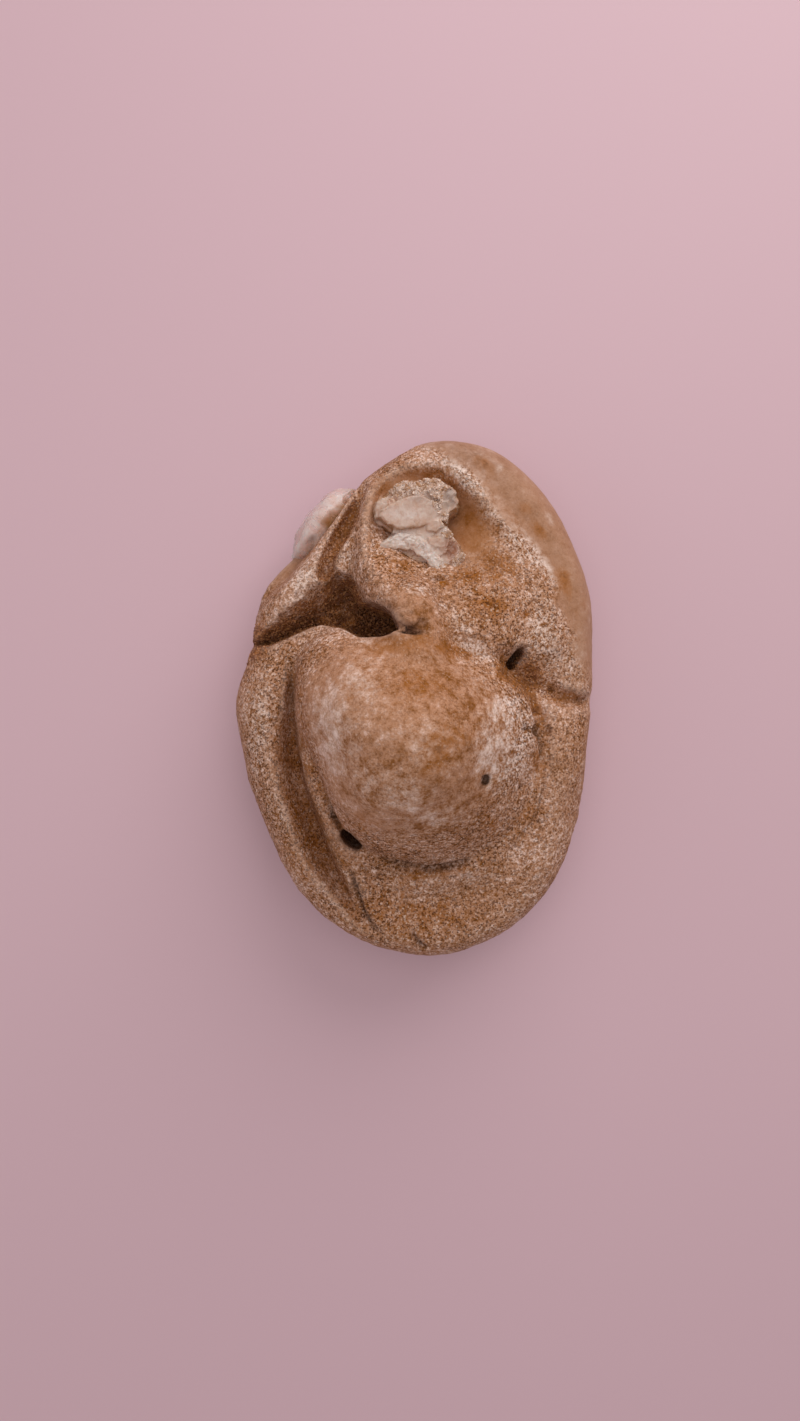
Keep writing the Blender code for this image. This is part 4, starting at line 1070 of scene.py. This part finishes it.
def add_block(block, outline, top, rise_x, rise_y):
    """A flat-topped crystal that widens a little towards its foot."""
    middle = np.mean(outline, axis=0)
    upper, lower = [], []
    for spot in outline:
        out = np.array(spot) - middle
        away = out / np.linalg.norm(out)
        upper.append(block.verts.new((*spot, top + rise_x * out[0] + rise_y * out[1])))
        lower.append(block.verts.new((*(np.array(spot) + away * CRYSTAL_FLARE), CRYSTAL_FOOT)))
    top_face = block.faces.new(upper)
    faces = [top_face, block.faces.new(lower[::-1]), *wall_between(block, lower, upper)]
    bmesh.ops.recalc_face_normals(block, faces=faces)
    brim = top_face.edges[:]
    bmesh.ops.bevel(block, geom=brim, offset=CRYSTAL_CHAMFER, segments=1, affect="EDGES", clamp_overlap=True)


def worn_skin(blocks, face_size, wear_rounds, name):
    """Overlapping blocks closed into one skin and worn down."""
    lump = object_from(name, blocks)
    add_skin(lump, face_size)
    mesh = finished_mesh(lump)
    remove([lump])
    move_to(mesh, evened_out(places_of(mesh), edges_of(mesh), wear_rounds))
    return mesh


def facet_rise(places, normals, spacing, tilt, seed):
    """Rise of a surface broken into facets, each about that far across, that meet in sharp ridges."""
    chance = np.random.default_rng(seed)
    low, high = places.min(axis=0), places.max(axis=0)
    count = int(np.prod((high - low) / spacing))
    middles = chance.uniform(low, high, (count, 3))
    slopes = chance.normal(0.0, tilt, (count, 3))
    tree = kdtree.KDTree(count)
    for number, middle in enumerate(middles):
        tree.insert(middle, number)
    tree.balance()
    nearest = np.array([[number for _, number, _ in tree.find_n(place, FACET_CHOICE)] for place in places])
    across = places[:, None, :] - middles[nearest]
    across -= (across * normals[:, None, :]).sum(axis=2, keepdims=True) * normals[:, None, :]
    rise = (across * slopes[nearest]).sum(axis=2) + tilt / spacing * (across**2).sum(axis=2)
    return rise.min(axis=1) - rise.min(axis=1).mean()


def cleave(mesh):
    """Breaks the crust's skin into facets and layers, and marks its colours, painted highlight and painted
    shade.
    """
    places, normals = places_of(mesh), normals_of(mesh)
    x, y, z = places.T
    sugary = patches(SUGARY, x, y) * ease(z, 13.5, 14.6)
    silky = patches(CRUST_SILKY, x, y)
    broken_side = 1 - ease(normals[:, 2], 0.25, 0.75)  # rougher than the tops, and stained
    from_band = nearest_on_line(BAND_LINE, x, y)[0]
    on_band = (1 - ease(np.abs(from_band), 0.5, 1.0)) * ease(z, 14.5, 15.4)
    layers = np.abs((from_band / BAND_LAYER + lumps(places, *BAND_WANDER)) % 1.0 - 0.5)
    shift = on_band * (LAYER_RELIEF * layers + BAND_RIDGE * (1 - ease(np.abs(from_band), 0.0, 0.7)))
    shift += lumps(places, *CRUST_LUMPS)
    for share, facets in (
        (1 - sugary, BROAD_FACETS), (1 - silky, SMALL_FACETS), (on_band, BAND_FACETS), (sugary, SUGAR_FACETS),
        (broken_side, SIDE_FACETS),
    ):
        shift += share * facet_rise(places, normals, *facets)
    shift = np.clip(shift, -CRUST_RELIEF, CRUST_RELIEF)
    move_to(mesh, (places + normals * shift[:, None]) * MM)
    near = hollowness(mesh, CREST_ROUNDS)
    mark(mesh, {
        # Painted highlight along the sharp edges
        "edge": ease(-near, 0.01, 0.06),
        # Painted shade in the creases
        "crease_shade": ease(near, 0.01, 0.07),
        "streaks": on_band * ease(layers, 0.1, 0.4),
        "sugary": sugary,
        "honey": np.maximum(patches(CRUST_HONEY, x, y), 0.75 * broken_side),
        "grey": patches(CRUST_GREY, x, y),
        "rose": patches(CRUST_ROSE, x, y),
        "bright": patches(CRUST_BRIGHT, x, y),
        "depth": 1 - ease(z, 13.0, 15.4),
    })


crust_blocks = bmesh.new()
for block in CRUST.values():
    add_block(crust_blocks, *block)
crust_mesh = worn_skin(crust_blocks, CRYSTAL_SKIN, CRYSTAL_WEAR, "crystal_crust")
cleave(crust_mesh)
crust_mesh.name = "crystal_crust"
crust_mesh.shade_smooth()
crust = new_object("crystal_crust", crust_mesh)

CALCITE = srgb(212, 168, 140)
CALCITE_BRIGHT = srgb(228, 198, 178)
CALCITE_WHITE = srgb(244, 226, 214)
CALCITE_HONEY = srgb(188, 134, 84)
CALCITE_GREY = srgb(166, 140, 126)
CALCITE_ROSE = srgb(164, 98, 58)
CRUST_CLOUDS_PER_METRE = 800.0
STREAKS_PER_METRE = 1500.0
CLEAVAGE_PER_METRE = 1700.0
CALCITE_IOR = 1.56


def cloud_group():
    """Milky clouds and fine veins inside a crystal."""
    nodes, given, result = new_group(
        "milky_clouds", {"Place": "Vector", "Clouds per Metre": "Float"}, {"Cloud": "Float", "Vein": "Float"}
    )
    place, scale = given["Place"], given["Clouds per Metre"]
    cloud = nodes.noise(place, scale, 4.0, 0.6, 1.2)
    vein = nodes.noise(place, nodes.times(scale, 1.7), 3.0, 0.5, 2.0)
    off_middle = nodes.maths("ABSOLUTE", nodes.minus(vein, 0.5))
    veins = nodes.between(off_middle, 0.035, 0.0)
    nodes.fill(result, {"Cloud": nodes.between(cloud, 0.34, 0.66), "Vein": veins})
    return nodes.tree


MILKY_CLOUDS = cloud_group()


def milky_calcite():
    made, nodes, shader, place = new_material("milky_calcite")
    sugary, honey, grey, rose, bright = map(nodes.mask, ("sugary", "honey", "grey", "rose", "bright"))
    depth, edge, crease_shade, streaks = map(nodes.mask, ("depth", "edge", "crease_shade", "streaks"))
    milk = nodes.group(MILKY_CLOUDS, {"Place": place, "Clouds per Metre": CRUST_CLOUDS_PER_METRE})
    colour = nodes.wash(CALCITE, CALCITE_BRIGHT, milk["Cloud"])
    colour = nodes.wash(colour, CALCITE_GREY, grey, 0.8)
    colour = nodes.wash(colour, CALCITE_ROSE, rose, 0.85)
    stain = {"Place": place, "Colour": colour, "Stain": nodes.times(honey, 0.8), "Honey": CALCITE_HONEY,
             "Rust": HONEY}
    colour = nodes.wash(nodes.group(IRON_STAIN, stain)["Colour"], CALCITE_HONEY, depth, 0.7)
    streaky = nodes.noise(place, STREAKS_PER_METRE, 4.0, 0.7, 1.5)
    colour = nodes.wash(colour, CALCITE_WHITE, bright, nodes.between(streaky, 0.34, 0.54))
    # Painted shade: honey brown in the creases
    colour = nodes.wash(colour, CALCITE_HONEY, crease_shade, 0.6)
    # The veins and layer streaks are whiter, and a painted highlight whitens the sharp edges
    for share, strength in ((milk["Vein"], 0.3), (streaks, 0.3), (edge, 0.7)):
        colour = nodes.wash(colour, CALCITE_WHITE, share, strength)
    # Each grain of the crystal ends in a face turned its own way
    cells = nodes.put("ShaderNodeTexVoronoi", {"Vector": place, "Scale": CLEAVAGE_PER_METRE})
    facing = nodes.put("ShaderNodeNewGeometry").outputs["Normal"]
    facing = nodes.scattered(facing, cells.outputs["Color"], nodes.by(sugary, 0.12, 0.4))
    nodes.fill(shader, {
        "Base Color": colour,
        "Roughness": nodes.by(sugary, 0.28, 0.16),
        "Normal": nodes.put("ShaderNodeVectorMath", {0: facing}, operation="NORMALIZE").outputs[0],
        "IOR": CALCITE_IOR,
        "Transmission Weight": 0.25,
        "Subsurface Weight": 0.35,
        "Subsurface Radius": (1.0, 0.75, 0.6),
        "Subsurface Scale": 0.0008,
    })
    return made


crust.data.materials.append(milky_calcite())
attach(crust, "root")
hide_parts("hollow_crystals")


# ---- The sugar crystals ---------------------------------------------------------------------------------
# Hundreds of tiny slanted calcite crystals, as coarse sugar, that have grown over the crust's rims.

SUGAR_PER_SQUARE_METRE = 7.0e7
SUGAR_WIDTH = 0.00017
SUGAR_LENGTH = 0.00026
SUGAR_HONEY = srgb(190, 140, 96)
SUGAR_PALE = srgb(240, 216, 200)
SUGAR_CLOUDS_PER_METRE = 1600.0


def sparkling_calcite():
    made, nodes, shader, place = new_material("sparkling_calcite")
    milk = nodes.group(MILKY_CLOUDS, {"Place": place, "Clouds per Metre": SUGAR_CLOUDS_PER_METRE})
    nodes.fill(shader, {
        "Base Color": nodes.wash(SUGAR_HONEY, SUGAR_PALE, milk["Cloud"]),
        "Roughness": nodes.by(milk["Vein"], 0.10, 0.3),
        "IOR": CALCITE_IOR,
        "Transmission Weight": 0.15,
    })
    return made


sugar = grown_on(
    crust, "sugar_crystals", scatter_tree("sugar_scatter", "sugary", 0.35, 1.15),
    {"Pieces per Square Metre": SUGAR_PER_SQUARE_METRE, "Width": SUGAR_WIDTH, "Length": SUGAR_LENGTH,
     "Roundness": 0.0, "Seed": 11, "Finish": sparkling_calcite()},
)
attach(sugar, "root")


# ---- The flank crystal ----------------------------------------------------------------------------------
# A lump of milky, half see-through calcite that grew on the left flank below the ridge: a few broad smooth
# faces with worn edges, clouded inside, and honey brown where it meets the rock.

FLANK_OUTLINE = [
    (-13.9, 15.8), (-13.3, 18.3), (-12.3, 20.5), (-11.4, 21.4), (-9.8, 22.9), (-8.6, 23.4), (-6.6, 23.3),
    (-6.4, 20.8), (-8.6, 17.2), (-11.6, 14.6),
]
FLANK_BASE = 3.6
FLANK_TOP = 13.2
FLANK_LEVELS = (-1.0, -0.85, -0.5, 0.0, 0.5, 0.85, 1.0)  # heights of its rings of corners, from base to top
FLANK_ROUNDNESS = 2.0
FLANK_END_SHARE = 0.16  # share of the outline left at the very base and top
FLANK_SKIN = 0.12  # size of the faces of its skin
FLANK_WEAR = 24  # rounds of wear
FLANK_FACETS = [(3.0, 0.11, 21), (1.2, 0.012, 22)]
FLANK_LUMPS = (0.06, 1.5, 2.0)
FLANK_DEEPEST = -0.5  # the most that its facets move the skin in and out
FLANK_HIGHEST = 0.35


def flank_lump():
    middle = np.mean(FLANK_OUTLINE, axis=0)
    half_height = (FLANK_TOP - FLANK_BASE) / 2
    lump = bmesh.new()
    for level in FLANK_LEVELS:
        inset = math.sqrt(1 - abs(level) ** FLANK_ROUNDNESS) * (1 - FLANK_END_SHARE) + FLANK_END_SHARE
        for spot in FLANK_OUTLINE:
            out = (np.array(spot) - middle) * inset
            lump.verts.new((*(middle + out), (FLANK_TOP + FLANK_BASE) / 2 + level * half_height))
    hull = bmesh.ops.convex_hull(lump, input=lump.verts)
    bmesh.ops.delete(lump, geom=[e for e in hull["geom_interior"] if isinstance(e, bmesh.types.BMVert)])
    return lump


flank_mesh = worn_skin(flank_lump(), FLANK_SKIN, FLANK_WEAR, "flank_lump")
flank_places, flank_normals = places_of(flank_mesh), normals_of(flank_mesh)
flank_shift = lumps(flank_places, *FLANK_LUMPS)
for facets in FLANK_FACETS:
    flank_shift += facet_rise(flank_places, flank_normals, *facets)
flank_shift = np.clip(flank_shift, FLANK_DEEPEST, FLANK_HIGHEST)
move_to(flank_mesh, (flank_places + flank_normals * flank_shift[:, None]) * MM)
flank_x, flank_y, _ = flank_places.T
mark(flank_mesh, {
    "honey": 0.7 * ease(flank_x * 0.8 - flank_y * 0.6, -21.0, -18.2),
    "dark": in_oval(flank_x, flank_y, -11.3, 17.3, 0.9, 0.5, 30),
})
flank_mesh.name = "flank_calcite"
flank_mesh.shade_smooth()
flank = new_object("flank_calcite", flank_mesh)

FLANK_MILK = srgb(244, 216, 208)
FLANK_DARK = srgb(120, 92, 84)
FLANK_CLOUDS_PER_METRE = 380.0


def clear_calcite():
    made, nodes, shader, place = new_material("clear_calcite")
    milk = nodes.group(MILKY_CLOUDS, {"Place": place, "Clouds per Metre": FLANK_CLOUDS_PER_METRE})
    colour = shaded(nodes, FLANK_MILK, milk["Cloud"], 0.22)
    colour = nodes.wash(colour, CALCITE_ROSE, milk["Vein"], 0.2)
    stain = {"Place": place, "Colour": colour, "Stain": nodes.mask("honey"), "Honey": CALCITE_HONEY,
             "Rust": HONEY}
    colour = nodes.group(IRON_STAIN, stain)["Colour"]
    nodes.fill(shader, {
        "Base Color": nodes.wash(colour, FLANK_DARK, nodes.mask("dark"), 0.6),
        "Roughness": nodes.by(milk["Cloud"], 0.22, 0.36),
        "IOR": CALCITE_IOR,
        "Transmission Weight": 0.3,
        "Subsurface Weight": 0.8,
        "Subsurface Radius": (1.0, 0.8, 0.7),
        "Subsurface Scale": 0.0025,
    })
    return made


flank.data.materials.append(clear_calcite())
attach(flank, "root")
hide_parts("flank_crystal")


# ---- The table, the light and the camera ----------------------------------------------------------------
# The stone lies on a plain pale surface under soft light from the upper right, seen from straight above.

FLOOR_SIZE = 1.6
FLOOR_COLOUR = srgb(212, 178, 186)
CAMERA_PLACE = (-0.00183, -0.00135, 0.1236)
CAMERA_LENS = 26.0


def pale_floor():
    sheet = bmesh.new()
    bmesh.ops.create_grid(sheet, x_segments=1, y_segments=1, size=FLOOR_SIZE / 2)
    floor = object_from("floor", sheet)
    made = bpy.data.materials.new("pale_floor")
    made.use_nodes = True
    shader = made.node_tree.nodes["Principled BSDF"]
    shader.inputs["Base Color"].default_value = FLOOR_COLOUR
    shader.inputs["Roughness"].default_value = 0.6
    floor.data.materials.append(made)
    return floor


def soft_light(name, place, size, power, colour):
    lamp = bpy.data.lights.new(name, "AREA")
    lamp.shape = "DISK"
    lamp.size = size
    lamp.energy = power
    lamp.color = colour
    made = bpy.data.objects.new(name, lamp)
    made.location = place
    made.rotation_euler = (-Vector(place)).to_track_quat("-Z", "Y").to_euler()
    bpy.context.scene.collection.objects.link(made)


pale_floor()
soft_light("key", (0.107, 0.265, 0.165), 0.36, 0.74, (1.0, 0.98, 0.97))
soft_light("top", (0.0, 0.02, 0.33), 0.30, 0.28, (1.0, 0.97, 0.98))
soft_light("fill", (-0.22, -0.04, 0.12), 0.30, 0.05, (1.0, 0.96, 0.97))
world = bpy.data.worlds.new("studio")
world.use_nodes = True
world.node_tree.nodes["Background"].inputs["Color"].default_value = (1.0, 0.93, 0.95, 1.0)
world.node_tree.nodes["Background"].inputs["Strength"].default_value = 0.35
bpy.context.scene.world = world
bpy.context.scene.view_settings.view_transform = "Standard"
lens = bpy.data.cameras.new("camera")
lens.lens = CAMERA_LENS
lens.sensor_width = 36.0
lens.clip_start = 0.001
camera = bpy.data.objects.new("camera", lens)
camera.location = CAMERA_PLACE
bpy.context.scene.collection.objects.link(camera)
bpy.context.scene.camera = camera
